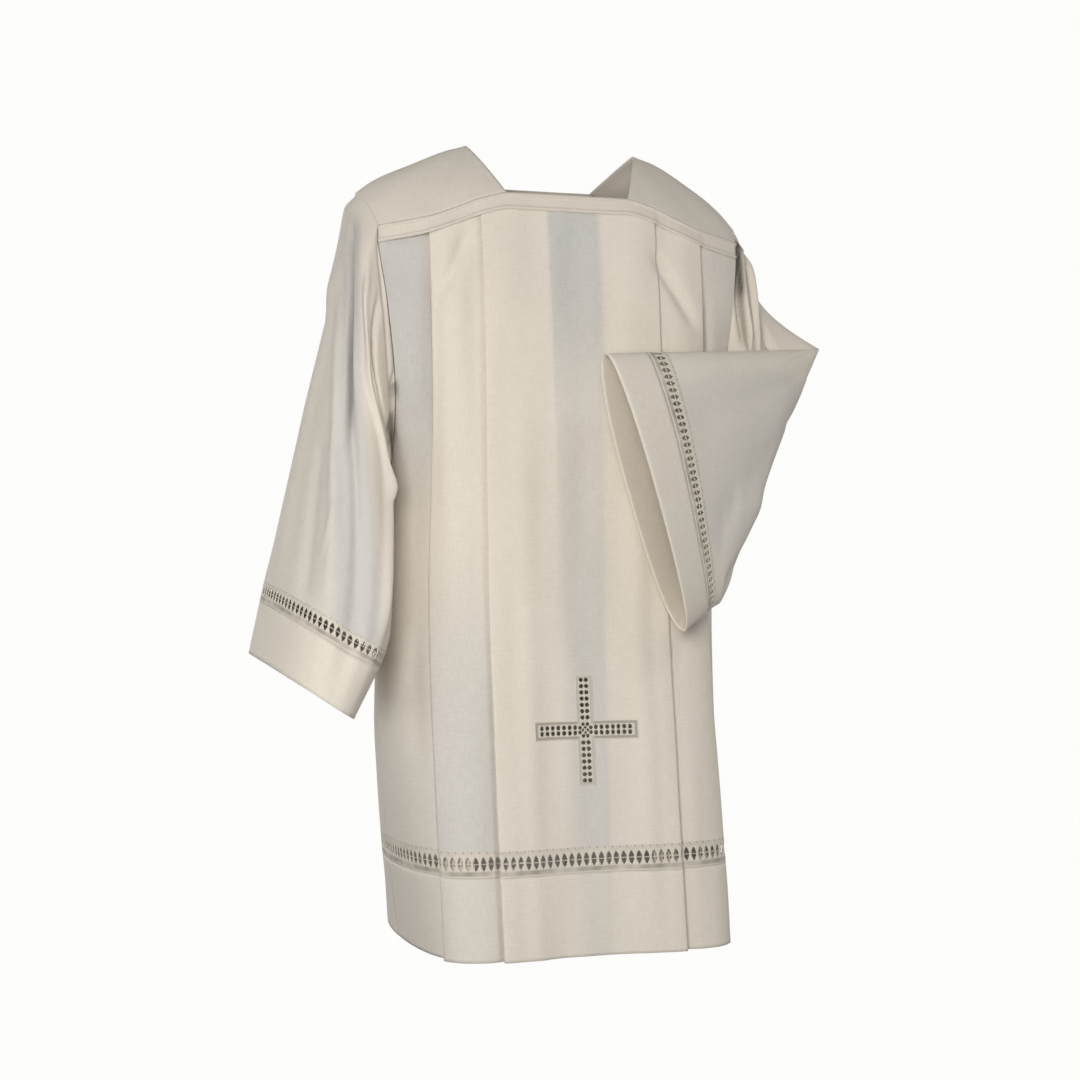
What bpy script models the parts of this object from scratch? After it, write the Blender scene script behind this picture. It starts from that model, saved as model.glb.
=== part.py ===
"""Square-necked pleated surplice in its worn, hollow form: one arm hangs, the other is bent across the front.

Metres, +Z up. The front faces -Y. The wearer's right arm is at -X and hangs, and the left one at +X is bent.
The origin is midway between the two points where the neck opening meets the top of the shoulders.
Each piece of cloth is an open surface worked out from the tables below, made a wall by Solidify.
"""

import math

import bmesh
import bpy
import numpy as np

# Cloth and seams. The walls lean at the bent elbow, so the seam there is wider.
WALL = 0.0012
BAND_WALL = 0.0022
SEAM = 0.0003
BAND_SEAM = 0.0006
ARMHOLE_SEAM = 0.0007
SLEEVE_SEAM = 0.0007
ELBOW_SEAM = 0.0022
SLANTED_SEAM = 0.00045

# A sleeve's wall is at most this many times longer at a turn than its thickness, as 1 over the number
SHARPEST_TURN = 0.5

# Share of the half width on either side of a point that its slope is taken over
SLOPE_STEP = 0.01

# Pleats: the edges lie at these distances from the centre line and turn outwards. The cloth rises to an edge
# over RISING_COLUMNS columns, rolls round it, runs back under it by PLEAT_UNDER, and rolls out again.
PLEAT_EDGES = (0.107, 0.168)
PLEAT_UNDER = 0.030
EDGE_TURN = 0.0016
INNER_TURN = 0.0005
PLEAT_RISE = 2 * (EDGE_TURN + INNER_TURN)
RISE_START = 0.052
RISE_END = 0.036
RISING_COLUMNS = 3
RISE_FALL = 0.009
SIDE_STEPS = (0.25, 0.5, 0.75, 1.0)
CENTRE_STEPS = (0.0, 0.030)

# Heights
BAND_HEIGHT = 0.021
LADDER_TOP = -0.833
LADDER_BOTTOM = -0.863
HEM_EDGE = -0.955
CUFF_LADDER_SHARE = 1 / 3

# Openwork: bars between gaps, as shares of the ladder's height for the gap's lower and upper end
HEM_PITCH = 0.0100
SLEEVE_PITCH = 0.0108
BAR_HALF = 0.0024
GAP_FROM = 0.24
GAP_TO = 0.76

# Cross of cut gaps on the centre of the front panel
CROSS_CENTRE = -0.7007
CROSS_PITCH = 0.0094
CROSS_UPRIGHT_ROWS = 13
CROSS_ARM_ROWS = 6
CROSS_GAP = (0.0105, 0.0055)
CROSS_ARM_START = 0.003
CUTTER_DEPTH = 0.06

# Neck
NECK_CORNER = 0.076
NECK_SHOULDER = 0.108
RIDGE_Y = 0.004

# The body's section at each height: a flat front and back that round into the sides.
# half: half width. front, back: depth at the centre. edge_front, edge_back: where the panels end, which is at
# the armhole above the underarm and at the side seam below it. flatness, closing: powers of the curve.
BODY_COLUMNS = ("z", "half", "front", "back", "edge_front", "edge_back", "flatness", "closing")
BODY = (
    (-0.955, 0.198, -0.180, 0.168, 0.000, 0.000, 8.0, 0.50),
    (-0.850, 0.204, -0.163, 0.155, 0.000, 0.000, 6.5, 0.50),
    (-0.700, 0.208, -0.142, 0.140, 0.000, 0.000, 5.0, 0.50),
    (-0.550, 0.206, -0.121, 0.128, 0.000, 0.000, 4.0, 0.50),
    (-0.405, 0.203, -0.112, 0.118, 0.000, 0.000, 3.4, 0.50),
    (-0.350, 0.204, -0.108, 0.114, -0.040, 0.046, 3.2, 0.62),
    (-0.280, 0.208, -0.103, 0.109, -0.058, 0.066, 3.0, 0.80),
    (-0.200, 0.217, -0.095, 0.100, -0.060, 0.070, 3.0, 0.90),
    (-0.131, 0.226, -0.084, 0.090, -0.051, 0.058, 3.0, 1.00),
    (-0.060, 0.230, -0.073, 0.078, -0.040, 0.044, 3.0, 1.00),
)

# Bands: lift over the body's surface, and the corded ridges, by the share of the band's height
BAND_LIFT = 0.0007
BAND_PROFILE = ((0.0, 0.0), (0.12, 0.0016), (0.26, 0.0), (0.74, 0.0), (0.88, 0.0016), (1.0, 0.0))

# Lower edge of each band: it is level under the neck and falls with the shoulders
BAND_COLUMNS = ("x", "front_z", "back_z")
BAND_LINE = (
    (0.000, -0.0885, -0.0560),
    (0.071, -0.0885, -0.0560),
    (0.107, -0.0965, -0.0680),
    (0.132, -0.1063, -0.0827),
    (0.168, -0.1195, -0.1020),
    (0.226, -0.1310, -0.1240),
)

# Shoulder ridge from the neck to the armhole. The left shoulder is lower, because its arm is raised.
RIDGE_COLUMNS = ("x", "right_z", "left_z")
RIDGE = (
    (0.108, 0.000, 0.000),
    (0.142, -0.012, -0.012),
    (0.194, -0.034, -0.041),
    (0.226, -0.052, -0.066),
    (0.243, -0.064, -0.084),
)

# Sleeves, ring by ring from the armhole to the cuff: the ring's upper or outer point, its lower or inner
# point, and the half depths from its middle to its fore side and its rear side. X is for the left side.
SLEEVE_COLUMNS = ("upper", "lower", "fore", "rear")
HANGING = (
    ((0.255, 0.000, -0.130), (0.2130, -0.004, -0.428), (0.000, -0.088, 0.000), (0.000, 0.090, 0.000)),
    ((0.269, 0.001, -0.190), (0.2150, -0.008, -0.446), (-0.002, -0.094, 0.000), (-0.002, 0.094, 0.000)),
    ((0.285, 0.001, -0.254), (0.2160, -0.012, -0.466), (-0.004, -0.102, 0.000), (-0.004, 0.098, 0.000)),
    ((0.301, 0.000, -0.315), (0.2170, -0.016, -0.490), (-0.006, -0.110, 0.000), (-0.006, 0.102, 0.000)),
    ((0.315, -0.001, -0.373), (0.2180, -0.020, -0.520), (-0.009, -0.117, -0.003), (-0.008, 0.106, 0.003)),
    ((0.329, -0.004, -0.432), (0.2190, -0.024, -0.555), (-0.012, -0.124, -0.007), (-0.010, 0.110, 0.006)),
    ((0.341, -0.007, -0.484), (0.2220, -0.029, -0.584), (-0.013, -0.130, -0.010), (-0.012, 0.114, 0.008)),
    ((0.353, -0.012, -0.528), (0.2290, -0.034, -0.604), (-0.013, -0.134, -0.014), (-0.014, 0.117, 0.012)),
    ((0.374, -0.026, -0.612), (0.2730, -0.050, -0.678), (-0.016, -0.134, -0.014), (-0.016, 0.118, 0.012)),
)
BENT = (
    ((0.250, -0.002, -0.122), (0.2120, -0.018, -0.438), (0.004, -0.062, 0.000), (0.014, 0.080, 0.000)),
    ((0.270, -0.014, -0.164), (0.2140, -0.038, -0.462), (-0.004, -0.048, 0.000), (0.026, 0.060, 0.000)),
    ((0.300, -0.035, -0.207), (0.2120, -0.065, -0.490), (-0.014, -0.028, 0.000), (0.030, 0.034, 0.000)),
    ((0.333, -0.062, -0.241), (0.1930, -0.104, -0.522), (-0.030, -0.008, 0.000), (0.012, 0.008, 0.000)),
    ((0.290, -0.082, -0.245), (0.1860, -0.114, -0.534), (-0.018, 0.008, 0.000), (0.014, -0.020, 0.000)),
    ((0.230, -0.102, -0.250), (0.1790, -0.119, -0.546), (-0.008, 0.018, 0.000), (0.009, -0.031, 0.000)),
    ((0.160, -0.129, -0.256), (0.1710, -0.124, -0.556), (-0.008, 0.024, 0.000), (0.006, -0.034, 0.000)),
    ((0.0906, -0.1565, -0.2610), (0.1590, -0.131, -0.5625), (-0.009, 0.029, 0.000), (0.004, -0.035, 0.000)),
    ((0.0076, -0.1900, -0.2680), (0.1130, -0.165, -0.5870), (-0.009, 0.034, 0.000), (0.003, -0.033, 0.000)),
)

# Ring at which the bent sleeve turns. Its halves are parted there too, so that each is a simple shell.
ELBOW_RING = 4

# The largest folds, as soft troughs. angle: degrees round the sleeve from its underarm line over the fore
# side. first, last: rings that it starts and ends at. depth: how far it goes in. spread: half its width.
FOLD_COLUMNS = ("angle", "first", "last", "depth", "spread")
HANGING_FOLDS = (
    (112, 0, 6, 0.011, 13),
    (62, 1, 7, 0.012, 15),
    (30, 2, 8, 0.009, 12),
    (255, 0, 6, 0.010, 13),
    (310, 1, 7, 0.011, 14),
)
BENT_FOLDS = (
    (120, 0, 4, 0.009, 14),
    (240, 0, 4, 0.011, 14),
    (285, 2, 7, 0.006, 12),
    (60, 0, 3, 0.010, 14),
)

# Facet down the middle of the front panel, left from folding: distance from the centre line and depth
FACET = ((-0.034, 0.0), (0.030, 0.010), (0.055, 0.004), (0.077, 0.0))
FACET_FADE = 0.035
RING_ROUNDNESS = 0.86

# Rows of the panels from the band to the ladder, by the height of their outer end
ARMHOLE_ROWS = (-0.131, -0.175, -0.225, -0.275, -0.320, -0.365, -0.405)
SIDE_ROWS = (-0.500, -0.610, -0.720)
YOKE_ROWS = 9
YOKE_SEAMS = (0.076, 0.107, 0.132, 0.168, 0.194, 0.212, 0.226)
YOKE_ROUNDING = (1.25, 1.60)

MIRROR = np.array([-1.0, 1.0, 1.0])

CLOTH_COLOUR = (0.80, 0.765, 0.69, 1.0)
OPENWORK_COLOUR = (0.74, 0.71, 0.65, 1.0)
CLOTH_ROUGHNESS = 0.85


def column(table, names, name):
    return np.array([row[names.index(name)] for row in table], float)


def section(z, side):
    """Width, centre depth, edge depth and powers of the body at height z, for side "front" or "back"."""
    levels = column(BODY, BODY_COLUMNS, "z")
    names = ("half", side, "edge_" + side, "flatness", "closing")
    return [float(np.interp(z, levels, column(BODY, BODY_COLUMNS, name))) for name in names]


def body_point(z, share, side):
    """Point at a share of the half width: depth = edge + (centre - edge)(1 - share^flatness)^closing."""
    half, centre, edge, flatness, closing = section(z, side)
    edge += math.copysign(SEAM, centre)
    depth = edge + (centre - edge) * (1 - min(share, 1.0) ** flatness) ** closing
    return np.array([half * share, depth])


def lifted_point(z, x_or_share, height, side, shift=0.0, is_share=False):
    """Body point moved out by a height along its normal, and along the surface by a shift."""
    half = section(z, side)[0]
    share = x_or_share if is_share else x_or_share / half
    before = body_point(z, max(share - SLOPE_STEP, 0.0), side)
    after = body_point(z, min(share + SLOPE_STEP, 1.0), side)
    along = (after - before) / np.linalg.norm(after - before)
    outward = np.array([-along[1], along[0]]) if side == "back" else np.array([along[1], -along[0]])
    point = body_point(z, share, side) + height * outward + shift * along
    return np.array([point[0], point[1], z])


def band_line(x, side):
    places = column(BAND_LINE, BAND_COLUMNS, "x")
    return float(np.interp(x, places, column(BAND_LINE, BAND_COLUMNS, side + "_z")))


def pleat_columns():
    """Columns of half a panel from the centre out: (kind, place, height, shift)."""
    columns = [("x", step, 0.0, 0.0) for step in CENTRE_STEPS]
    for edge in PLEAT_EDGES:
        under = edge - PLEAT_UNDER
        columns += [
            ("x", edge - RISE_START, 0.0, 0.0),
            ("x", edge - RISE_END, PLEAT_RISE, 0.0),
            ("x", under, PLEAT_RISE, 0.0),
            ("x", edge, PLEAT_RISE, 0.0),
            ("x", edge, PLEAT_RISE - EDGE_TURN, EDGE_TURN),
            ("x", edge, PLEAT_RISE - 2 * EDGE_TURN, 0.0),
            ("x", under, PLEAT_RISE - 2 * EDGE_TURN, 0.0),
            ("x", under, INNER_TURN, -INNER_TURN),
            ("x", under, 0.0, 0.0),
            ("x", edge, 0.0, 0.0),
        ]
    columns += [("side", step, 0.0, 0.0) for step in SIDE_STEPS]
    return columns


def column_point(entry, z, side):
    kind, place, height, shift = entry
    if kind == "x":
        return lifted_point(z, place, height, side, shift)
    half = section(z, side)[0]
    return lifted_point(z, side_place(place, half) / half, height, side, shift, is_share=True)


def side_place(step, half):
    """Distance from the centre line of a step between the outer pleat and the seam, finer by the seam."""
    return PLEAT_EDGES[1] + (half - PLEAT_EDGES[1]) * (1 - (1 - step) ** 2)


def top_height(x):
    """Height of the uppermost layer over the body, which the bands follow."""
    knots = [0.0]
    heights = [0.0]
    for edge in PLEAT_EDGES:
        knots += [edge - RISE_START, edge - RISE_END, edge, edge + RISE_FALL]
        heights += [0.0, PLEAT_RISE, PLEAT_RISE, 0.0]
    return float(np.interp(x, knots, heights))


def mirrored(rows):
    """Whole rows from half rows that start at the centre line: -X first, then the centre, then +X."""
    return np.concatenate([rows[:, :0:-1] * MIRROR, rows], axis=1)


def panel_rows(side):
    """Grid of a panel: rows from the band down to the ladder, columns from the right to the left side."""
    entries = pleat_columns()
    outer_x = BAND_LINE[-1][0]
    rows = []
    heights = list(ARMHOLE_ROWS) + list(SIDE_ROWS) + [LADDER_TOP + SEAM]
    for outer in heights:
        share = (outer - ARMHOLE_ROWS[0]) / (heights[-1] - ARMHOLE_ROWS[0])
        row = []
        for entry in entries:
            x = entry[1] if entry[0] == "x" else side_place(entry[1], outer_x)
            top = band_line(x, side) - BAND_SEAM
            z = top + (heights[-1] - top) * share
            row.append(column_point(entry, z, side))
        rows.append(row)
    return with_facet(mirrored(np.array(rows)), side)


def hem_rows(side, heights):
    entries = pleat_columns()
    rows = mirrored(np.array([[column_point(entry, z, side) for entry in entries] for z in heights]))
    return with_facet(rows, side)


def with_facet(rows, side):
    """Rows of the front with the facet pressed into the middle stretch, fading out under the band."""
    if side == "front":
        places = [place for place, _ in FACET]
        depths = [depth for _, depth in FACET]
        fade = np.clip((band_line(0.0, side) - rows[..., 2]) / FACET_FADE, 0.0, 1.0)
        rows[..., 1] += fade * np.interp(rows[..., 0], places, depths, left=0.0, right=0.0)
    return rows


def band_rows(side):
    """Grid of a band: a corded ridge along each long edge, and a flat strip between them."""
    edges = list(CENTRE_STEPS)
    for edge in PLEAT_EDGES:
        edges += [edge - RISE_START, edge - RISE_END, edge - PLEAT_UNDER, edge]
    edges.append(PLEAT_EDGES[1] + RISE_FALL)
    edges += [side_place(step, BAND_LINE[-1][0]) for step in SIDE_STEPS]
    rows = []
    for share, ridge in BAND_PROFILE[::-1]:
        row = []
        for x in edges:
            z = band_line(x, side) + share * BAND_HEIGHT
            height = BAND_LIFT + top_height(x) * (1 - share) + ridge
            row.append(lifted_point(z, x, height, side))
        rows.append(row)
    return mirrored(np.array(rows))


def yoke_rows(right):
    """Grid of a yoke from the front band over the shoulder ridge to the back band, for +X."""
    xs = column(RIDGE, RIDGE_COLUMNS, "x")
    zs = column(RIDGE, RIDGE_COLUMNS, "right_z" if right else "left_z")
    rows = []
    for across in np.linspace(-1.0, 1.0, YOKE_ROWS):
        side = "front" if across < 0 else "back"
        row = []
        for seam_x in YOKE_SEAMS:
            share = (seam_x - NECK_CORNER) / (YOKE_SEAMS[-1] - NECK_CORNER)
            ridge_x = NECK_SHOULDER + share * (xs[-1] - NECK_SHOULDER)
            ridge = np.array([ridge_x, RIDGE_Y * share, np.interp(ridge_x, xs, zs)])
            seam_z = band_line(seam_x, side) + BAND_HEIGHT + BAND_SEAM
            seam = lifted_point(seam_z, seam_x, BAND_LIFT * (1 - share), side)
            rounding = np.interp(share, (0.0, 1.0), YOKE_ROUNDING)
            way = np.array([abs(across), abs(across), abs(across) ** rounding])
            row.append(ridge + (seam - ridge) * way)
        rows.append(row)
    return np.array(rows)


def armhole_ring(right):
    """Closed loop that the sleeve starts from, for +X: underarm, front, yoke, back."""
    front = panel_rows("front")[: len(ARMHOLE_ROWS), -1]
    back = panel_rows("back")[: len(ARMHOLE_ROWS), -1]
    yoke = yoke_rows(right)[:, -1]
    return np.concatenate([front[::-1], yoke, back[:-1]])


def ring_angles(ring):
    """Angle of each point of the armhole loop about its middle: 0 at the underarm, pi at the top."""
    lower, upper = ring[0], ring[np.argmax(ring[:, 2])]
    middle = (lower + upper) / 2
    down = (middle[2] - ring[:, 2]) / (middle[2] - lower[2])
    fore = (middle[1] - ring[:, 1]) / np.abs(ring[:, 1] - middle[1]).max()
    return np.unwrap(np.arctan2(fore, down))


def sleeve_rings(right):
    """Rings of a sleeve for +X: point = middle + (lower - middle) cos + depth |sin|, to a power of both."""
    start = armhole_ring(right)
    angles = ring_angles(start)
    cosine = np.sign(np.cos(angles)) * np.abs(np.cos(angles)) ** RING_ROUNDNESS
    sine = np.abs(np.sin(angles)) ** RING_ROUNDNESS
    table = HANGING if right else BENT
    upper, lower, fore, rear = (column(table, SLEEVE_COLUMNS, name)[:, None] for name in SLEEVE_COLUMNS)
    middle = (upper + lower) / 2
    depth = np.where(np.sin(angles)[:, None] > 0, fore, rear)
    loops = middle + (lower - middle) * cosine[:, None] + depth * sine[:, None]
    rings = np.concatenate([start[None], loops])
    for row in HANGING_FOLDS if right else BENT_FOLDS:
        fold = dict(zip(FOLD_COLUMNS, row))
        away = (np.degrees(angles) - fold["angle"] + 180) % 360 - 180
        across = np.exp(-((away / fold["spread"]) ** 2))
        for i in range(fold["first"] + 1, fold["last"]):
            way = unit(rings[i].mean(axis=0) - rings[i])
            strength = math.sin(math.pi * (i - fold["first"]) / (fold["last"] - fold["first"]))
            rings[i] += fold["depth"] * strength * across[:, None] * way
    rings[0] += ARMHOLE_SEAM * unit(rings[1] - rings[0])
    rings[0][:, 0] = np.maximum(rings[0][:, 0], start[:, 0] + ARMHOLE_SEAM)
    return rings


def between(start, end, share):
    """Points at a share of the way from one ring to the next."""
    return start + (end - start) * share


def walk(line, place):
    """Point of an open line at a distance along it."""
    lengths = np.concatenate([[0.0], np.cumsum(np.linalg.norm(np.diff(line, axis=0), axis=1))])
    return np.array([np.interp(place, lengths, line[:, axis]) for axis in range(3)])


def length_of(line):
    return float(np.linalg.norm(np.diff(line, axis=0), axis=1).sum())


def unit(vectors):
    return vectors / np.linalg.norm(vectors, axis=-1, keepdims=True)


def mitres(rings):
    """Outward directions of a closed tube, longer where it turns, so that a wall keeps its thickness."""
    onward = np.roll(rings, -1, axis=1)
    faces = unit(np.cross(rings[1:] - onward[:-1], onward[1:] - rings[:-1]))
    faces = np.concatenate([faces[:1], faces, faces[-1:]])
    after = unit(faces[1:] + faces[:-1])
    outward = unit(after + np.roll(after, 1, axis=1))
    return outward / np.maximum((outward * after).sum(axis=2), SHARPEST_TURN)[..., None]


def tube_half(rings, first, last):
    """Outer and inner rows of a tube's wall, columns first to last, drawn back half a seam at both ends."""
    outward = mitres(rings)
    order = [i % rings.shape[1] for i in range(first, last + 1)]
    halves = []
    for rows in (rings[:, order], (rings - WALL * outward)[:, order]):
        for end, beside in ((0, 1), (-1, -2)):
            back = SLEEVE_SEAM / 2 * np.linalg.norm(outward[:, order[end]], axis=1)
            rows[:, end] += unit(rows[:, beside] - rows[:, end]) * back[:, None]
        halves.append(rows)
    return halves


def stretch_between(rows, first, last):
    """Rings first to last of a grid, drawn back half a seam where the sleeve goes on past them."""
    stretch = rows[first : last + 1].copy()
    if first > 0:
        stretch[0] += ELBOW_SEAM / 2 * unit(rows[first + 1] - rows[first])
    if last < len(rows) - 1:
        stretch[-1] += ELBOW_SEAM / 2 * unit(rows[last - 1] - rows[last])
    return stretch


def add_piece(name, mesh_data, wall, material, collection):
    """Makes the surface an object, with a wall inwards from its outer side where the surface is open."""
    vertices, faces = mesh_data
    mesh = bpy.data.meshes.new(name)
    mesh.from_pydata([tuple(v) for v in vertices], [], faces)
    mesh.update()
    mesh.shade_smooth()
    mesh.materials.append(material)
    piece = bpy.data.objects.new(name, mesh)
    collection.objects.link(piece)
    if wall:
        solidify = piece.modifiers.new("wall", "SOLIDIFY")
        solidify.thickness = wall
        solidify.offset = -1.0
    return piece


def grid_surface(rows, closed=False, flip=False, outward=False):
    """Triangles over a grid of points, closed round its columns for a tube.

    Both sides of a wall take these same triangles, so a warped stretch can't cross its own other side.
    outward: each is split from its upper inner to its lower outer corner, also where a pleat runs back,
    so that the layers of a pleat bend alike.
    """
    count = rows.shape[1]
    faces = []
    for i in range(rows.shape[0] - 1):
        for j in range(count if closed else count - 1):
            k = (j + 1) % count
            upper, lower = i * count, (i + 1) * count
            if outward and abs(rows[i, k, 0]) < abs(rows[i, j, 0]):
                faces.append([upper + j, lower + j, upper + k])
                faces.append([upper + k, lower + j, lower + k])
            else:
                faces.append([upper + j, lower + j, lower + k])
                faces.append([upper + j, lower + k, upper + k])
    return rows.reshape(-1, 3), [face[::-1] for face in faces] if flip else faces


def wall_surface(outer, inner, flip=False):
    """Closed wall between two matching grids, with a rim along all four edges."""
    points, outer_faces = grid_surface(outer, flip=flip)
    inner_points, inner_faces = grid_surface(inner, flip=not flip)
    shift = len(points)
    numbers = np.arange(shift).reshape(outer.shape[:2])
    edge = np.concatenate([numbers[0, :-1], numbers[:-1, -1], numbers[-1, :0:-1], numbers[:0:-1, 0]])
    rim = []
    for one, two in zip(edge.tolist(), np.roll(edge, -1).tolist()):
        face = [one, two, two + shift, one + shift]
        rim.append(face if not flip else face[::-1])
    moved = [[i + shift for i in face] for face in inner_faces]
    return np.concatenate([points, inner_points]), outer_faces + moved + rim


def ladder_items(lower, upper, stretches, pitch):
    """Points of an openwork strip, and its items in order: a plain edge, or a bar between two gaps.

    lower and upper are matching lines of points. A stretch is a (first, last) pair of their columns.
    An edge is (low, high). A bar is (low, high, low_left, low_right, high_left, high_right).
    """
    points = []
    items = []

    def add(*placed):
        items.append(tuple(range(len(points), len(points) + len(placed))))
        points.extend(placed)

    def add_bars(first, last):
        lines = lower[first : last + 1], upper[first : last + 1]
        sizes = [length_of(line) for line in lines]
        count = max(2, int(round(sizes[0] / pitch)))
        half = BAR_HALF / sizes[0]
        for share in (np.arange(count) + 0.5) / count:
            low, high = (walk(line, share * size) for line, size in zip(lines, sizes))
            left = [walk(line, (share - half) * size) for line, size in zip(lines, sizes)]
            right = [walk(line, (share + half) * size) for line, size in zip(lines, sizes)]
            corners = [between(*side, level) for level in (GAP_FROM, GAP_TO) for side in (left, right)]
            add(low, high, *corners)

    shown = dict(stretches)
    j = 0
    while j < len(lower):
        add(lower[j], upper[j])
        if j in shown:
            add_bars(j, shown[j])
        j = shown.get(j, j + 1)
    return np.array(points), items


def ladder_surface(lower, upper, stretches, pitch, flip=False):
    """Strip with gaps between bars along the stretches that show, and plain between them."""
    points, items = ladder_items(lower, upper, stretches, pitch)
    faces = []
    for item in items:
        if len(item) > 2:
            low, high, low_left, low_right, high_left, high_right = item
            faces.append([low_left, low_right, high_right, high_left])
            faces.append([low, low_right, low_left])
            faces.append([high, high_left, high_right])
    for one, two in zip(items, items[1:]):
        if len(one) == 2 and len(two) == 2:
            faces.append([one[0], two[0], two[1], one[1]])
        elif len(one) == 2:
            faces.append([one[0], two[0], two[2], two[4], two[1], one[1]])
        elif len(two) == 2:
            faces.append([one[0], two[0], two[1], one[1], one[5], one[3]])
        else:
            faces.append([one[0], two[0], two[2], one[3]])
            faces.append([one[1], one[5], two[4], two[1]])
    return points, [face[::-1] for face in faces] if flip else faces


def hem_stretches():
    """Column pairs of a whole row between which the cloth shows, in order."""
    half = len(pleat_columns()) - 1
    per_pleat = (half + 1 - len(CENTRE_STEPS) - len(SIDE_STEPS)) // len(PLEAT_EDGES)
    starts = [len(CENTRE_STEPS) + per_pleat * i for i in range(len(PLEAT_EDGES))]
    edges = [start + RISING_COLUMNS for start in starts]
    outs = [start + per_pleat - 1 for start in starts]
    shown = [(0, edges[0]), (outs[0], edges[1]), (outs[1], half)]
    left_side = [(half + first, half + last) for first, last in shown[1:]]
    right_side = [(half - last, half - first) for first, last in shown[:0:-1]]
    return right_side + [(half - edges[0], half + edges[0])] + left_side


def cross_cutter(collection):
    """Boxes through the front panel, one for each gap of the cross."""
    mesh = bpy.data.meshes.new("cross_gaps")
    cutter = bmesh.new()
    wide, tall = CROSS_GAP
    gaps = []
    for row in range(-CROSS_UPRIGHT_ROWS // 2 + 1, CROSS_UPRIGHT_ROWS // 2 + 1):
        gaps.append((0.0, row * CROSS_PITCH, wide, tall))
    for row in range(1, CROSS_ARM_ROWS + 1):
        gaps.append((row * CROSS_PITCH + CROSS_ARM_START, 0.0, tall, wide))
        gaps.append((-row * CROSS_PITCH - CROSS_ARM_START, 0.0, tall, wide))
    depth = section(CROSS_CENTRE, "front")[1]
    for x, rise, width, height in gaps:
        made = bmesh.ops.create_cube(cutter, size=1.0)["verts"]
        for vertex in made:
            vertex.co.x = vertex.co.x * width + x
            vertex.co.y = vertex.co.y * CUTTER_DEPTH + depth
            vertex.co.z = vertex.co.z * height + CROSS_CENTRE + rise
    cutter.to_mesh(mesh)
    cutter.free()
    piece = bpy.data.objects.new("cross_gaps", mesh)
    collection.objects.link(piece)
    piece.hide_render = True
    piece.display_type = "WIRE"
    return piece


def cloth_material(name, colour):
    material = bpy.data.materials.new(name)
    material.use_nodes = True
    shader = material.node_tree.nodes["Principled BSDF"]
    shader.inputs["Base Color"].default_value = colour
    shader.inputs["Roughness"].default_value = CLOTH_ROUGHNESS
    shader.inputs["Metallic"].default_value = 0.0
    return material


def build_sleeve(right, cloth, openwork, collection):
    """Cuff, and a fore and a rear half of the sleeve and of its openwork, parted at top and underarm.

    The bent sleeve's halves are each an upper piece and a forearm piece.
    """
    name, facing = ("right", MIRROR) if right else ("left", 1.0)
    rings = sleeve_rings(right)
    ladder_top, cuff_edge = rings[-2], rings[-1]
    gap = SLANTED_SEAM / float(np.linalg.norm(cuff_edge - ladder_top, axis=1).min())
    cuff_start = CUFF_LADDER_SHARE + gap
    cuff_shares = (cuff_start, (1 + cuff_start) / 2, 1.0)
    cuff = np.array([between(ladder_top, cuff_edge, share) for share in cuff_shares]) * facing
    add_piece("cuff_" + name, grid_surface(cuff, closed=True, flip=right), WALL, cloth, collection)
    ladder = np.array([between(ladder_top, cuff_edge, share) for share in (CUFF_LADDER_SHARE, gap)])
    top = len(ARMHOLE_ROWS) + YOKE_ROWS // 2
    wrist = len(rings) - 2
    stretches = {"": (0, wrist)} if right else {"upper_": (0, ELBOW_RING), "forearm_": (ELBOW_RING, wrist)}
    for half, first, last in (("fore", 0, top), ("rear", top, rings.shape[1])):
        sides = [side * facing for side in tube_half(rings[:-1], first, last)]
        for stretch, (begins, ends) in stretches.items():
            outer, inner = (stretch_between(side, begins, ends) for side in sides)
            wall = wall_surface(outer, inner, flip=right)
            add_piece(f"sleeve_{name}_{stretch}{half}", wall, None, cloth, collection)
        lower, upper = tube_half(ladder, first, last)[0] * facing
        surface = ladder_surface(lower, upper, [(0, last - first)], SLEEVE_PITCH, flip=not right)
        add_piece(f"sleeve_openwork_{name}_{half}", surface, WALL, openwork, collection)


def build():
    for old in list(bpy.data.objects):
        bpy.data.objects.remove(old, do_unlink=True)
    surplice = bpy.data.collections.new("surplice")
    cutters = bpy.data.collections.new("cutters")
    bpy.context.scene.collection.children.link(surplice)
    bpy.context.scene.collection.children.link(cutters)
    cloth = cloth_material("off_white_cloth", CLOTH_COLOUR)
    openwork = cloth_material("drawn_thread_openwork", OPENWORK_COLOUR)

    for side, flip in (("front", False), ("back", True)):
        surface = grid_surface(panel_rows(side), flip=flip, outward=True)
        panel = add_piece(side + "_panel", surface, WALL, cloth, surplice)
        if side == "front":
            cut = panel.modifiers.new("cross", "BOOLEAN")
            cut.operation = "DIFFERENCE"
            cut.object = cross_cutter(cutters)
        surface = grid_surface(band_rows(side), flip=flip, outward=True)
        add_piece("band_" + side, surface, BAND_WALL, cloth, surplice)
        lower, upper = hem_rows(side, (LADDER_BOTTOM + SEAM, LADDER_TOP))
        surface = ladder_surface(lower, upper, hem_stretches(), HEM_PITCH, flip=flip)
        add_piece("openwork_" + side, surface, WALL, openwork, surplice)
        surface = grid_surface(hem_rows(side, (LADDER_BOTTOM, HEM_EDGE)), flip=flip, outward=True)
        add_piece("hem_" + side, surface, WALL, cloth, surplice)

    for right in (True, False):
        name = "right" if right else "left"
        rows = yoke_rows(right) * (MIRROR if right else 1.0)
        add_piece("yoke_" + name, grid_surface(rows, flip=not right), WALL, cloth, surplice)
        build_sleeve(right, cloth, openwork, surplice)


build()
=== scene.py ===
"""Looks of a pleated square-necked surplice in worn form: soft cloth, drawn-thread openwork and corded bands.

Metres, +Z up, front towards -Y, the wearer's right arm at -X. Each piece is a numpy grid on the form that the
frame's own pieces have, with finer columns, rolled pleats and soft folds, and replaces the pieces it dresses.
"""

import math

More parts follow.
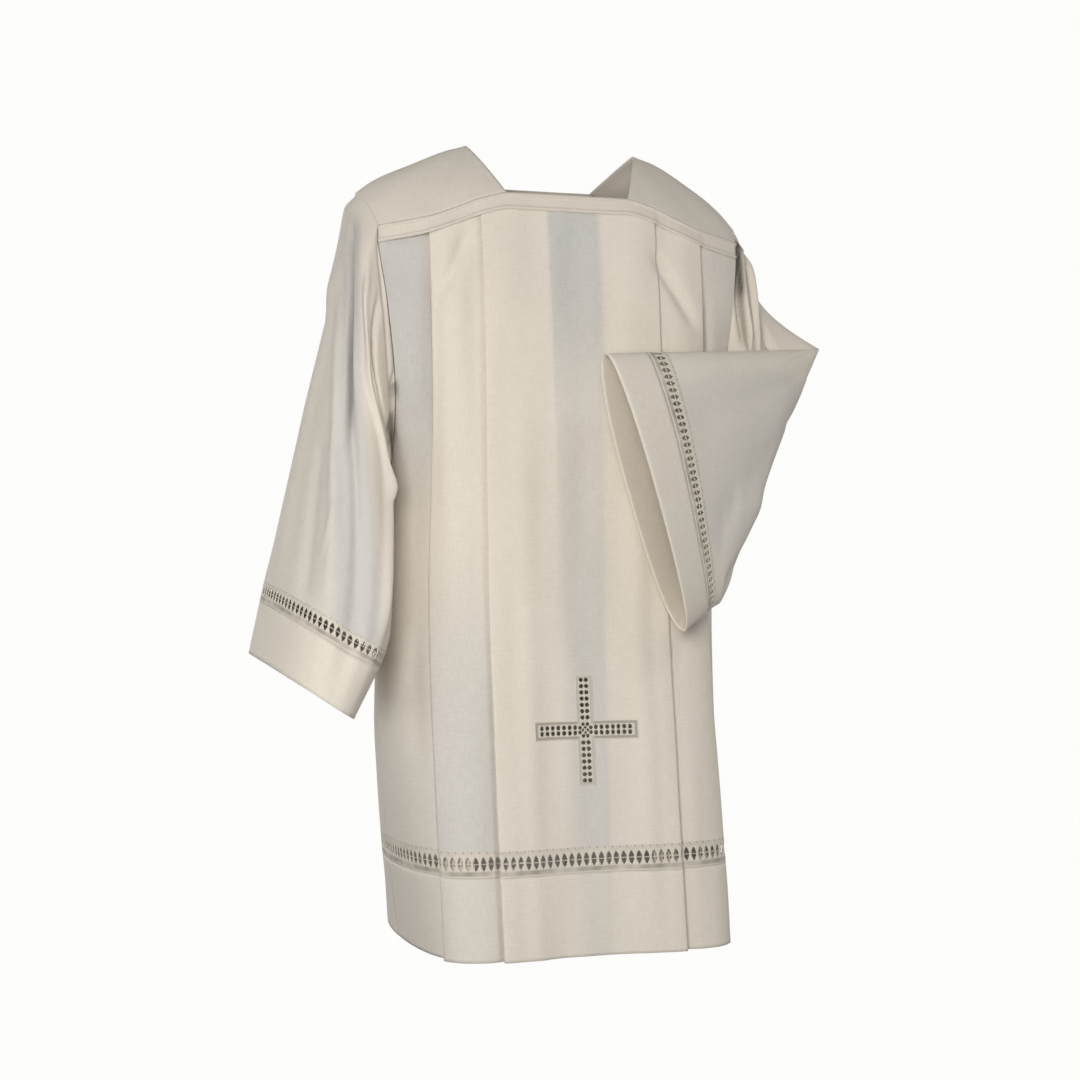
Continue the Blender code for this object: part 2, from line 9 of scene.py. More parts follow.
import bpy
import numpy as np
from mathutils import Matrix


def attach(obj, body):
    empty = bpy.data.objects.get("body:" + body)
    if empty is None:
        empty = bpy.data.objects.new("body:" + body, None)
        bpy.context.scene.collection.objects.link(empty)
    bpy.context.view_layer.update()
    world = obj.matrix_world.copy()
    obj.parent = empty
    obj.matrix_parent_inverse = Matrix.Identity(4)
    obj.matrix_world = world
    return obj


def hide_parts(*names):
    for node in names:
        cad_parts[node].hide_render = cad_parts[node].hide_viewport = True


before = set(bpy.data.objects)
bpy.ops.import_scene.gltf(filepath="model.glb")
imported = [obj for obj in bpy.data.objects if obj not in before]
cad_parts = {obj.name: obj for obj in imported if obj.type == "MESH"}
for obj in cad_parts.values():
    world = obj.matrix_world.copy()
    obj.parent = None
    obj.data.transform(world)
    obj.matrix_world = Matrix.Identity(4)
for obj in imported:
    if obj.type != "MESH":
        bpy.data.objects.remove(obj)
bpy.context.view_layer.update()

# Body sections: half width, centre depth and edge depth of front and back, and the powers of the curve
BODY_COLUMNS = ("z", "half", "front", "back", "edge_front", "edge_back", "flatness", "closing")
BODY = (
    (-0.955, 0.198, -0.180, 0.168, 0.000, 0.000, 8.0, 0.50),
    (-0.850, 0.204, -0.163, 0.155, 0.000, 0.000, 6.5, 0.50),
    (-0.700, 0.208, -0.142, 0.140, 0.000, 0.000, 5.0, 0.50),
    (-0.550, 0.206, -0.121, 0.128, 0.000, 0.000, 4.0, 0.50),
    (-0.405, 0.203, -0.112, 0.118, 0.000, 0.000, 3.4, 0.50),
    (-0.350, 0.204, -0.108, 0.114, -0.040, 0.046, 3.2, 0.62),
    (-0.280, 0.208, -0.103, 0.109, -0.058, 0.066, 3.0, 0.80),
    (-0.200, 0.217, -0.095, 0.100, -0.060, 0.070, 3.0, 0.90),
    (-0.131, 0.226, -0.084, 0.090, -0.051, 0.058, 3.0, 1.00),
    (-0.060, 0.230, -0.073, 0.078, -0.040, 0.044, 3.0, 1.00),
)
BAND_COLUMNS = ("x", "front_z", "back_z")
BAND_LINE = (
    (0.000, -0.0885, -0.0560),
    (0.071, -0.0885, -0.0560),
    (0.107, -0.0965, -0.0680),
    (0.132, -0.1063, -0.0827),
    (0.168, -0.1195, -0.1020),
    (0.226, -0.1310, -0.1240),
)
RIDGE_COLUMNS = ("x", "right_z", "left_z")
RIDGE = (
    (0.108, 0.000, 0.000),
    (0.142, -0.012, -0.012),
    (0.194, -0.034, -0.041),
    (0.226, -0.052, -0.066),
    (0.243, -0.064, -0.084),
)

# Sleeves, ring by ring from the armhole: upper and lower point, and the half depths to fore and rear
SLEEVE_COLUMNS = ("upper", "lower", "fore", "rear")
HANGING = (
    ((0.255, 0.000, -0.130), (0.2130, -0.004, -0.428), (0.000, -0.088, 0.000), (0.000, 0.090, 0.000)),
    ((0.269, 0.001, -0.190), (0.2150, -0.008, -0.446), (-0.002, -0.094, 0.000), (-0.002, 0.094, 0.000)),
    ((0.285, 0.001, -0.254), (0.2160, -0.012, -0.466), (-0.004, -0.102, 0.000), (-0.004, 0.098, 0.000)),
    ((0.301, 0.000, -0.315), (0.2170, -0.016, -0.490), (-0.006, -0.110, 0.000), (-0.006, 0.102, 0.000)),
    ((0.315, -0.001, -0.373), (0.2180, -0.020, -0.520), (-0.009, -0.117, -0.003), (-0.008, 0.106, 0.003)),
    ((0.329, -0.004, -0.432), (0.2190, -0.024, -0.555), (-0.012, -0.124, -0.007), (-0.010, 0.110, 0.006)),
    ((0.341, -0.007, -0.484), (0.2220, -0.029, -0.584), (-0.013, -0.130, -0.010), (-0.012, 0.114, 0.008)),
    ((0.353, -0.012, -0.528), (0.2290, -0.034, -0.604), (-0.013, -0.134, -0.014), (-0.014, 0.117, 0.012)),
    ((0.374, -0.026, -0.612), (0.2730, -0.050, -0.678), (-0.016, -0.134, -0.014), (-0.016, 0.118, 0.012)),
)
BENT = (
    ((0.250, -0.002, -0.122), (0.2120, -0.018, -0.438), (0.004, -0.062, 0.000), (0.014, 0.080, 0.000)),
    ((0.266, -0.014, -0.172), (0.2140, -0.038, -0.462), (-0.004, -0.048, 0.000), (0.026, 0.060, 0.000)),
    ((0.297, -0.035, -0.211), (0.2120, -0.065, -0.490), (-0.014, -0.028, 0.000), (0.030, 0.034, 0.000)),
    ((0.333, -0.062, -0.241), (0.1930, -0.104, -0.522), (-0.030, -0.008, 0.000), (0.001, 0.008, 0.000)),
    ((0.290, -0.082, -0.245), (0.1860, -0.114, -0.534), (-0.018, 0.008, 0.000), (0.005, -0.020, 0.000)),
    ((0.230, -0.102, -0.250), (0.1790, -0.119, -0.546), (-0.008, 0.018, 0.000), (0.004, -0.031, 0.000)),
    ((0.160, -0.129, -0.256), (0.1710, -0.124, -0.556), (-0.008, 0.024, 0.000), (0.006, -0.034, 0.000)),
    ((0.0906, -0.1565, -0.2610), (0.1590, -0.131, -0.5625), (-0.009, 0.029, 0.000), (0.004, -0.035, 0.000)),
    ((0.0076, -0.1900, -0.2680), (0.1130, -0.165, -0.5870), (-0.009, 0.034, 0.000), (0.003, -0.033, 0.000)),
)
RING_POWER = 0.86
ARMHOLE_HEIGHTS = (-0.131, -0.175, -0.225, -0.275, -0.320, -0.365, -0.405)
YOKE_ROWS = 9

# Heights and seams
BAND_HEIGHT = 0.021
LADDER_TOP = -0.833
LADDER_BOTTOM = -0.863
HEM_EDGE = -0.955
CUFF_LADDER_SHARE = 1 / 3
TUCK = 0.004
NECK_CORNER = 0.076
NECK_SHOULDER = 0.108
RIDGE_Y = 0.004

# Pleats: where each edge lies, how far the cloth runs back under it, and how high it stands at top and hem
PLEAT_EDGES = (0.107, 0.168)
PLEAT_UNDER = 0.030
PLEAT_RISES = ((0.030, 0.095), (0.114, 0.152))
RISE_TOP = 0.0042
RISE_MIDDLE = 0.0062
RISE_HEM = 0.0085
LOWER_LAYER = 0.24
ROLL = (1 - LOWER_LAYER) / 2

# Columns of a pleat: round its edge, back under it, round the inner fold, out again, and on to the side seam
EDGE_COUNT = 9
UNDER_COUNT = 5
INNER_COUNT = 5
OUT_COUNT = 6
SIDE_COUNT = 30

# Openwork and cross: real repeats
LADDER_PITCH = 0.0090
SLEEVE_PITCH = 0.0082
GAP_HALF_SHARE = 0.36
GAP_SPAN = (0.22, 0.72)
TIE_HALF = 0.012
CROSS_CENTRE = -0.7007
CROSS_HALF = 0.0620
CROSS_ARM_HALF = 0.0100
CROSS_UPRIGHT_PITCH = 0.0072
CROSS_ARM_PITCH = 0.0068
CROSS_CELL = 0.0006
CROSS_ROWS = range(2, 9)
CROSS_PAIR = 0.0031
CROSS_GAP = (0.0027, 0.0023)
CROSS_ARM_SHIFT = 0.0008
CROSS_RIM = 0.0030
CROSS_LIFT = 0.0004
CROSS_LAP = 0.001

# Rings of gaps where the cross's arms meet: how many, the first one's turn, the ring's radius, a gap's radius
CROSS_RINGS = ((8, 0.5, 0.0072, 0.0022), (4, 0.0, 0.0030, 0.0016))

# Walls, the spacing and counts of the grids, and how far a piece runs on past its seam
CLOTH_WALL = 0.0014
LADDER_WALL = 0.0008
CROSS_WALL = 0.0007
PANEL_SPACING = 0.0032
LADDER_SPACING = 0.0015
BAND_SPACING = 0.0035
ROW_SPACING = 0.0060
SEAM_LAP = 0.0005
SLEEVE_ROUND = 184
LADDER_ROUND = 420
SLEEVE_ROWS = 129
CUFF_ROWS = 12
BAND_ROWS = 36
YOKE_GRID = (73, 49)

# Bands, as shares of their height: the middles of the two cords, half a cord's width, and the stitches' rows.
# Then how far a cord stands out, and how far the band itself does.
CORD_PLACES = (0.125, 0.875)
CORD_HALF = 0.135
BAND_STITCHES = (0.225, 0.775)
CORD_RISE = 0.0018
BAND_RISE = 0.0012

# Camera: turned towards the wearer's right, level, from this far
IMAGE_SIZE = 1080
FOCAL_PIXELS = 1863
SENSOR = 36.0
VIEW_TURN = math.radians(-17)
VIEW_TARGET = (0.0, 0.0, -0.48)
VIEW_DISTANCE = 2.3
TARGET_OFFSET_PIXELS = 10
FLOOR_HEIGHT = -1.6
FLOOR_HALF = 1.0


def column(table, names, name):
    """One column of a table of rows."""
    return np.array([row[names.index(name)] for row in table], float)


def smooth(places, values, at):
    """Curve through a table's points that never overshoots: a cubic whose slope at each point is the harmonic
    mean of the slopes beside it, and zero where they differ in sign."""
    places = np.asarray(places, float)
    values = np.asarray(values, float)
    table = values.reshape(len(places), -1)
    step = np.diff(places)[:, None]
    slope = np.diff(table, axis=0) / step
    same = slope[1:] * slope[:-1] > 0
    total = np.where(same, slope[1:] + slope[:-1], 1.0)
    inner = np.where(same, 2 * slope[1:] * slope[:-1] / total, 0.0)
    slopes = np.concatenate([slope[:1], inner, slope[-1:]])
    flat = np.clip(np.ravel(at), places[0], places[-1])
    k = np.clip(np.searchsorted(places, flat, side="right") - 1, 0, len(places) - 2)
    size = step[k]
    t = (flat[:, None] - places[k][:, None]) / size
    start = (1 + 2 * t) * (1 - t) ** 2 * table[k] + t * (1 - t) ** 2 * size * slopes[k]
    end = t * t * (3 - 2 * t) * table[k + 1] + t * t * (t - 1) * size * slopes[k + 1]
    return (start + end).reshape(np.shape(at) + values.shape[1:])


def ease(low, high, at):
    """0 below low, 1 above high, and a soft rise between them."""
    t = np.clip((np.asarray(at) - low) / (high - low), 0.0, 1.0)
    return t * t * (3 - 2 * t)


def unit(vectors):
    """Vectors divided by their length."""
    return vectors / np.maximum(np.linalg.norm(vectors, axis=-1, keepdims=True), 1e-9)


def steps(marks, size):
    """Places from the first to the last mark, with every mark kept and none further apart than size."""
    runs = []
    for one, two in zip(marks, marks[1:]):
        count = max(1, math.ceil(abs(two - one) / size))
        runs.append(np.linspace(one, two, count, endpoint=False))
    return np.concatenate(runs + [[marks[-1]]])


def level_at(table, names, name, z):
    """One column of a table, as a smooth curve by its z."""
    return smooth(column(table, names, "z"), column(table, names, name), z)


def body_level(z, name):
    """One column of the body's table at a height."""
    return level_at(BODY, BODY_COLUMNS, name, z)


def body_plan(z, share, side):
    """Place across and depth of the body: depth = edge + (centre - edge)(1 - share^flatness)^closing."""
    edge = body_level(z, "edge_" + side)
    share = np.clip(share, 0.0, 1.0)
    curve = (1 - share ** body_level(z, "flatness")) ** body_level(z, "closing")
    return np.stack([body_level(z, "half") * share, edge + (body_level(z, side) - edge) * curve], axis=-1)


# How far each side seam stands out from the plain body, by height
SWAY_COLUMNS = ("z", "right", "left")
SWAY = (
    (-0.955, -0.006, 0.000),
    (-0.900, -0.003, 0.000),
    (-0.850, 0.001, 0.000),
    (-0.760, 0.006, -0.003),
    (-0.690, 0.009, -0.007),
    (-0.600, 0.009, -0.004),
    (-0.500, 0.006, 0.000),
    (-0.420, 0.000, 0.000),
)


def sway(x, z):
    """Widening of the body towards a side, growing with the fourth power of the distance from the middle."""
    right, left = (level_at(SWAY, SWAY_COLUMNS, name, z) for name in ("right", "left"))
    amount = np.where(x < 0, -right, left)
    return amount * np.minimum(np.abs(x) / body_level(z, "half"), 1.0) ** 4


def body_surface(x, z, out, side):
    """Points of the front or back at a signed distance from the centre line, moved out along the normal."""
    x, z, out = np.broadcast_arrays(x, z, out)
    share = np.abs(x) / body_level(z, "half")
    along = unit(body_plan(z, share + 0.01, side) - body_plan(z, share - 0.01, side))
    turn = 1.0 if side == "back" else -1.0
    plan = body_plan(z, share, side) + out[..., None] * turn * np.stack([-along[..., 1], along[..., 0]], -1)
    over = np.maximum(share - 1.0, 0.0) * body_level(z, "half")
    return np.stack([np.sign(x) * (plan[..., 0] + over) + sway(x, z), plan[..., 1], z], axis=-1)


def band_line(x, side):
    """Height of a band's lower edge, by the distance from the centre line."""
    heights = column(BAND_LINE, BAND_COLUMNS, side + "_z")
    return smooth(column(BAND_LINE, BAND_COLUMNS, "x"), heights, np.abs(x))


def side_place(step, half):
    """Distance from the centre line, on the way from the outer pleat, 0, to the side seam, 1, and slowing."""
    return PLEAT_EDGES[1] + (half - PLEAT_EDGES[1]) * (1 - (1 - step) ** 2)


def half_path(size, marks=()):
    """Path from the centre line out over both pleats, with columns no further apart than size.

    A path is the run of the cloth across a panel. Each of its rows has four numbers: the distance from the
    centre line, the way on to the side seam, 1 at the seam, the height in pleat rises, and the roll round an
    edge, also in rises.
    """
    rows = []
    start = 0.0
    for edge, (low, high) in zip(PLEAT_EDGES, PLEAT_RISES):
        inner = [mark for mark in marks if start < mark < edge]
        for x in steps([start] + inner + [edge], size)[0 if start == 0.0 else 1 :]:
            rows.append((x, 0.0, float(ease(low, high, x)), 0.0))
        for turn in np.linspace(math.pi / 2, -math.pi / 2, EDGE_COUNT)[1:]:
            rows.append((edge, 0.0, (1 + LOWER_LAYER) / 2 + ROLL * math.sin(turn), ROLL * math.cos(turn)))
        for x in np.linspace(edge, edge - PLEAT_UNDER, UNDER_COUNT)[1:]:
            rows.append((x, 0.0, LOWER_LAYER, 0.0))
        for turn in np.linspace(math.pi / 2, -math.pi / 2, INNER_COUNT)[1:]:
            half = LOWER_LAYER / 2
            rows.append((edge - PLEAT_UNDER, 0.0, half + half * math.sin(turn), -half * math.cos(turn)))
        for x in np.linspace(edge - PLEAT_UNDER, edge, OUT_COUNT)[1:]:
            rows.append((x, 0.0, 0.0, 0.0))
        start = edge
    for step in np.linspace(0.0, 1.0, SIDE_COUNT)[1:]:
        rows.append((PLEAT_EDGES[1], step, 0.0, 0.0))
    return np.array(rows)


def whole_path(size, marks=()):
    """Path from the right side seam to the left one."""
    half = half_path(size, marks)
    other = half[:0:-1] * (-1.0, -1.0, 1.0, -1.0)
    return np.concatenate([other, half])


def path_places(path, z):
    """Signed distance from the centre line of each column at each height."""
    step = np.abs(path[:, 1])
    return np.where(step > 0, np.sign(path[:, 1]) * side_place(step, body_level(z, "half")), path[:, 0])


def rise_at(z):
    """Height of a whole pleat."""
    return smooth((HEM_EDGE, -0.50, -0.08), (RISE_HEM, RISE_MIDDLE, RISE_TOP), z)


# Long soft folds of the panels, as lines down the cloth. A plus depth goes in, a minus depth stands out.
CREASE_COLUMNS = ("x0", "z0", "x1", "z1", "depth", "width")
FRONT_CREASES = (
    (-0.122, -0.112, -0.160, -0.200, 0.0060, 0.008),
    (-0.140, -0.125, -0.128, -0.420, -0.0016, 0.012),
    (0.102, -0.128, 0.160, -0.226, 0.0070, 0.008),
    (0.120, -0.150, 0.150, -0.360, -0.0016, 0.013),
    (-0.088, -0.100, -0.082, -1.150, 0.0012, 0.013),
    (-0.062, -0.340, -0.070, -1.150, -0.0015, 0.012),
    (0.064, -0.120, 0.074, -0.900, -0.0012, 0.012),
    (0.088, -0.300, 0.086, -1.150, 0.0012, 0.010),
    (-0.150, -0.420, -0.146, -1.150, 0.0022, 0.014),
    (-0.124, -0.560, -0.126, -1.150, -0.0016, 0.010),
    (0.148, -0.520, 0.142, -1.150, 0.0020, 0.013),
    (0.126, -0.620, 0.128, -1.150, -0.0014, 0.010),
    (-0.192, -0.300, -0.186, -0.800, 0.0040, 0.010),
    (0.190, -0.560, 0.188, -0.940, 0.0030, 0.010),
    (0.177, -0.165, 0.181, -0.420, 0.0050, 0.007),
)
BACK_CREASES = (
    (-0.100, -0.100, -0.150, -0.230, 0.0050, 0.009),
    (0.110, -0.100, 0.156, -0.260, 0.0048, 0.009),
    (-0.066, -0.140, -0.052, -0.900, 0.0032, 0.013),
    (-0.020, -0.240, -0.026, -1.150, -0.0036, 0.015),
    (0.026, -0.130, 0.016, -0.620, 0.0042, 0.012),
    (0.034, -0.460, 0.024, -1.150, 0.0034, 0.014),
    (0.070, -0.300, 0.080, -1.150, -0.0030, 0.013),
    (-0.140, -0.300, -0.134, -1.150, 0.0032, 0.013),
    (0.142, -0.380, 0.136, -1.150, 0.0030, 0.012),
    (-0.190, -0.420, -0.186, -0.900, 0.0044, 0.010),
    (0.190, -0.400, 0.190, -0.860, 0.0040, 0.010),
)

# The flat facet that folding left down the front, by height: its left edge, deepest line, and right edge
FACET_COLUMNS = ("z", "left", "middle", "right", "depth")
FACET = (
    (-0.960, -0.016, 0.004, 0.024, 0.0005),
    (-0.500, -0.023, 0.006, 0.033, 0.0014),
    (-0.125, -0.028, 0.008, 0.039, 0.0026),
    (-0.088, -0.028, 0.008, 0.039, 0.0000),
)


def creased(x, z, creases):
    """Height of the long folds: each is a bell across its line, with a soft start and end along it."""
    height = np.zeros(np.broadcast(x, z).shape)
    for row in creases:
        fold = dict(zip(CREASE_COLUMNS, row))
        dx, dz = fold["x1"] - fold["x0"], fold["z1"] - fold["z0"]
        length = math.hypot(dx, dz)
        along = ((x - fold["x0"]) * dx + (z - fold["z0"]) * dz) / length**2
        across = ((x - fold["x0"]) * dz - (z - fold["z0"]) * dx) / length
        ends = ease(-0.05, 0.25, along) * (1 - ease(0.75, 1.05, along))
        height -= fold["depth"] * np.exp(-((across / fold["width"]) ** 2)) * ends
    return height


def facet_height(x, z):
    """Height of the flat facet: down from its left edge to the deepest line, and up to its right edge."""
    left, middle, right, depth = (level_at(FACET, FACET_COLUMNS, name, z) for name in FACET_COLUMNS[1:])
    down = np.clip((x - left) / (middle - left), 0.0, 1.0)
    back = np.clip((right - x) / (right - middle), 0.0, 1.0)
    return -depth * np.where(x < middle, ease(0.0, 1.0, down), ease(0.0, 1.0, back))


def uneven(x, z, side):
    """Slight unevenness of hanging cloth: three long waves of under a millimetre."""
    turn = 0.0 if side == "front" else 2.1
    waves = np.sin(x * 71 + z * 9 + turn) * np.sin(z * 13 + turn * 2)
    waves += 0.7 * np.sin(x * 118 - z * 21 + 1.3 + turn)
    waves += 0.5 * np.sin(z * 47 + x * 33 + 0.4 + turn)
    return 0.00045 * waves


def pleat_shadow(path):
    """How far the cloth dips where it comes out from under each pleat's edge, in pleat rises."""
    dip = np.zeros(len(path))
    for edge in PLEAT_EDGES:
        beside = np.abs(path[:, 0]) - edge
        dip += np.where((path[:, 2] == 0) & (path[:, 1] == 0), np.exp(-((beside / 0.006) ** 2)), 0.0)
    return 0.35 * dip


# How far the cloth beside the outer pleats dips towards them, at each side of the front and on the back
DIP_COLUMNS = ("z", "right", "left", "back")
DIP = (
    (-0.955, 0.003, 0.001, 0.002),
    (-0.600, 0.004, 0.002, 0.003),
    (-0.420, 0.016, 0.004, 0.005),
    (-0.330, 0.024, 0.005, 0.006),
    (-0.200, 0.022, 0.004, 0.005),
    (-0.120, 0.009, 0.000, 0.001),
)


def side_dip(path, x, z, side):
    """Depth of the valley beside each outer pleat: full at the pleat's edge, a bell inside it and straight up
    to nothing at the side seam. A pleat's upper layers follow it less."""
    names = ("right", "left") if side == "front" else ("back", "back")
    right, left = (level_at(DIP, DIP_COLUMNS, name, z) for name in names)
    beyond = np.abs(x) - PLEAT_EDGES[1]
    room = np.maximum(body_level(z, "half") - PLEAT_EDGES[1], 0.010)
    share = np.where(beyond < 0, np.exp(-((beyond / 0.011) ** 2)), np.clip(1 - beyond / room, 0.0, 1.0))
    return np.where(x < 0, right, left) * share * (1 - 0.65 * np.clip(path[:, 2], 0.0, 1.0))


# How much greyer a single layer looks, 0 to 1: the stripe down the middle by height, and how soft its left
# edge is at the top and how much more at the hem
STRIPE_COLUMNS = ("z", "amount")
STRIPE = ((-0.96, 0.72), (-0.62, 0.68), (-0.42, 0.52), (-0.12, 1.00))
STRIPE_SOFT = 0.002
STRIPE_SOFTER = 0.018
# The strips beside the outer pleats, a single layer with painted shade of their recess on top: how much the
# right one fades on its way down, and how strong the left one and those of the back are. Then the panel
# between the right pleats, low down, and the hem's share.
STRIP_SHADE_FADE = 0.75
STRIP_SHADE_LEFT = 0.38
STRIP_SHADE_BACK = 0.6
LOW_PANEL = 0.70
HEM_THIN = {"front": 0.45, "back": 0.0}


def single_layer_and_shade(path, x, z):
    """0 to 1 over the front: where no pleat lies under the cloth, so light passes and it looks greyer; beside
    the outer pleats it also holds painted shade of their recess.
    """
    left, right = (level_at(FACET, FACET_COLUMNS, name, z) for name in ("left", "right"))
    soft = STRIPE_SOFT + STRIPE_SOFTER * ease(-0.3, -0.8, z)
    amount = level_at(STRIPE, STRIPE_COLUMNS, "amount", z)
    stripe = amount * ease(left - soft, left + soft, x) * (1 - ease(right - 0.007, right + 0.003, x))
    # Beside the outer pleats the cloth is a single layer, and its greyer tone is deepened by painted shade of
    # the recess there.
    beside = np.where(x < 0, 1 - STRIP_SHADE_FADE * ease(-0.30, -0.48, z), STRIP_SHADE_LEFT)
    strip = ease(0.0, 0.06, np.abs(path[:, 1])) * beside
    low = LOW_PANEL * ease(-0.45, -0.70, z) * ((x < -PLEAT_EDGES[0]) & (path[:, 1] == 0))
    return np.maximum(np.maximum(stripe, strip), low)


def cloth_height(x, z, side):
    """Height of all soft folds of a panel, fading towards the side seams."""
    height = creased(x, z, FRONT_CREASES if side == "front" else BACK_CREASES) + uneven(x, z, side)
    if side == "front":
        height = height + facet_height(x, z)
    return height * (1 - 0.7 * ease(0.185, 0.205, np.abs(x)))


def panel_grid(path, heights, side, lift=0.0, top=None):
    """Points of a run of cloth: path columns across, and centre-line heights down."""
    side_x = np.sign(path[:, 1]) * side_place(np.abs(path[:, 1]), BAND_LINE[-1][0])
    top_x = np.where(path[:, 1] != 0, side_x, path[:, 0])
    heights = np.asarray(heights)[:, None]
    if top is None:
        z = np.broadcast_to(heights, (len(heights), len(path)))
    else:
        start = band_line(top_x, side)[None] + top
        centre = band_line(0.0, side) + top
        share = (heights - centre) / (heights[-1] - centre)
        z = start + (heights[-1] - start) * share
    x = path_places(path, z)
    rise = rise_at(z)
    out = (path[:, 2] - pleat_shadow(path)) * rise + cloth_height(x, z, side) + lift
    out = out - side_dip(path, x, z, side)
    return body_surface(x + path[:, 3] * rise, z, out, side)


def lengths(points, axis):
    """Running length along the rows or columns of a grid, averaged over the other way."""
    parts = np.linalg.norm(np.diff(points, axis=axis), axis=-1).mean(axis=1 - axis)
    return np.concatenate([[0.0], np.cumsum(parts)])


def add_grid(name, points, material, closed=False, flip=False, keep=None, wall=0.0, **shares):
    """A piece from a grid of points, with its cloth coordinates in metres.

    keep: which faces are there. wall: thickness, inwards. shares: 0 to 1 for each point, named thin,
    stitched or crevice, for what the material shows there: a single layer's greyer tone, with painted shade
    beside the outer pleats; stitches, with painted shade over the bands; and painted shade deep in folds. The
    crevices' painted shade at the underarm is looked for on every piece.
    """
    down, across = points.shape[:2]
    turns = across if closed else across - 1
    i, j = np.meshgrid(np.arange(down - 1), np.arange(turns), indexing="ij")
    right = (j + 1) % across
    quads = np.stack([i * across + j, (i + 1) * across + j, (i + 1) * across + right, i * across + right], -1)
    corners = np.stack([i * (turns + 1) + j, (i + 1) * (turns + 1) + j,
                        (i + 1) * (turns + 1) + j + 1, i * (turns + 1) + j + 1], -1)
    if keep is not None:
        quads, corners = quads[keep], corners[keep]
    quads, corners = quads.reshape(-1, 4), corners.reshape(-1, 4)
    if flip:
        quads, corners = quads[:, ::-1], corners[:, ::-1]
    used, quads = np.unique(quads, return_inverse=True)
    quads = quads.reshape(-1, 4)
    looped = np.concatenate([points, points[:, :1]], axis=1) if closed else points
    u, v = lengths(looped, 1), lengths(looped, 0)
    plan = np.stack(np.broadcast_arrays(u[None], v[:, None]), -1).reshape(-1, 2)
    mesh = bpy.data.meshes.new(name)
    mesh.from_pydata(points.reshape(-1, 3)[used].tolist(), [], quads.tolist())
    layer = mesh.uv_layers.new(name="cloth")
    layer.data.foreach_set("uv", plan[corners.reshape(-1)].astype(np.float32).ravel())
    shares["crevice"] = np.maximum(crevice(points), shares.get("crevice", 0.0))
    for title, values in shares.items():
        amount = mesh.attributes.new(title, "FLOAT", "POINT")
        amount.data.foreach_set("value", values.astype(np.float32).ravel()[used])
    mesh.shade_smooth()
    mesh.materials.append(material)
    piece = bpy.data.objects.new(name, mesh)
    bpy.context.scene.collection.objects.link(piece)
    if wall:
        solidify = piece.modifiers.new("wall", "SOLIDIFY")
        solidify.thickness = wall
        solidify.offset = -1.0
    return piece


# Sleeve folds: depth (minus stands out), half width, and the line that each follows, as (ring, angle) points.
# ring counts from the armhole, and angle is in degrees from the underarm line, round over the fore side.
DEGREE_LENGTH = 0.0019
RING_LENGTH = 0.060
HANGING_FOLDS = (
    (-0.0090, 0.0300, ((0.02, 186), (0.80, 184), (2.60, 180))),
    (0.0120, 0.0070, ((0.50, 172), (1.00, 161), (1.60, 146), (2.40, 133), (3.30, 119), (4.60, 107))),
    (0.0080, 0.0130, ((2.60, 122), (4.30, 103), (5.40, 96), (7.20, 91), (9.40, 87))),
    (-0.0050, 0.0120, ((1.20, 172), (2.70, 149), (3.70, 134), (4.70, 124), (5.80, 117), (9.00, 106))),
    (-0.0070, 0.0090,
     ((0.40, 130), (1.00, 121), (1.60, 107), (2.20, 98), (2.40, 76), (3.10, 60), (3.60, 57))),
    (-0.0085, 0.0120, ((2.20, 68), (3.10, 60), (4.10, 57), (5.40, 60), (6.50, 63), (9.40, 62))),
    (0.0095, 0.0060, ((0.20, 112), (0.60, 105), (1.05, 101), (1.45, 95), (1.45, 84), (1.10, 70), (0.50, 52))),
    (0.0080, 0.0050, ((0.03, 130), (0.12, 112), (0.22, 98), (0.34, 84), (0.55, 64))),
    (0.0200, 0.0110, ((0.08, 76), (0.20, 62), (0.30, 50), (0.44, 38))),
    (0.0110, 0.0180, ((0.20, 58), (0.70, 46), (1.30, 40), (2.40, 36))),
    (-0.0020, 0.0040, ((5.1, 113), (6.0, 120), (6.8, 126))),
    (0.0040, 0.0140, ((4.2, 146), (6.2, 140), (8.4, 134))),
    (-0.0040, 0.0170, ((4.0, 128), (6.2, 120), (8.3, 114))),
    (-0.0060, 0.0150, ((0.8, 172), (4.0, 170), (8.4, 168))),
    (0.0090, 0.0160, ((0.9, 28), (4.0, 27), (8.4, 25))),
    (0.0080, 0.0130, ((0.4, 205), (3.0, 200), (7.6, 198))),
    (-0.0050, 0.0180, ((0.8, 232), (4.0, 234), (8.2, 236))),
    (0.0120, 0.0130, ((0.2, 258), (4.0, 256), (8.4, 258))),
    (-0.0050, 0.0180, ((0.9, 284), (4.0, 285), (7.2, 286))),
    (0.0100, 0.0140, ((0.5, 312), (4.0, 314), (8.4, 316))),
    (-0.0040, 0.0170, ((1.8, 340), (4.0, 341), (7.8, 342))),
)
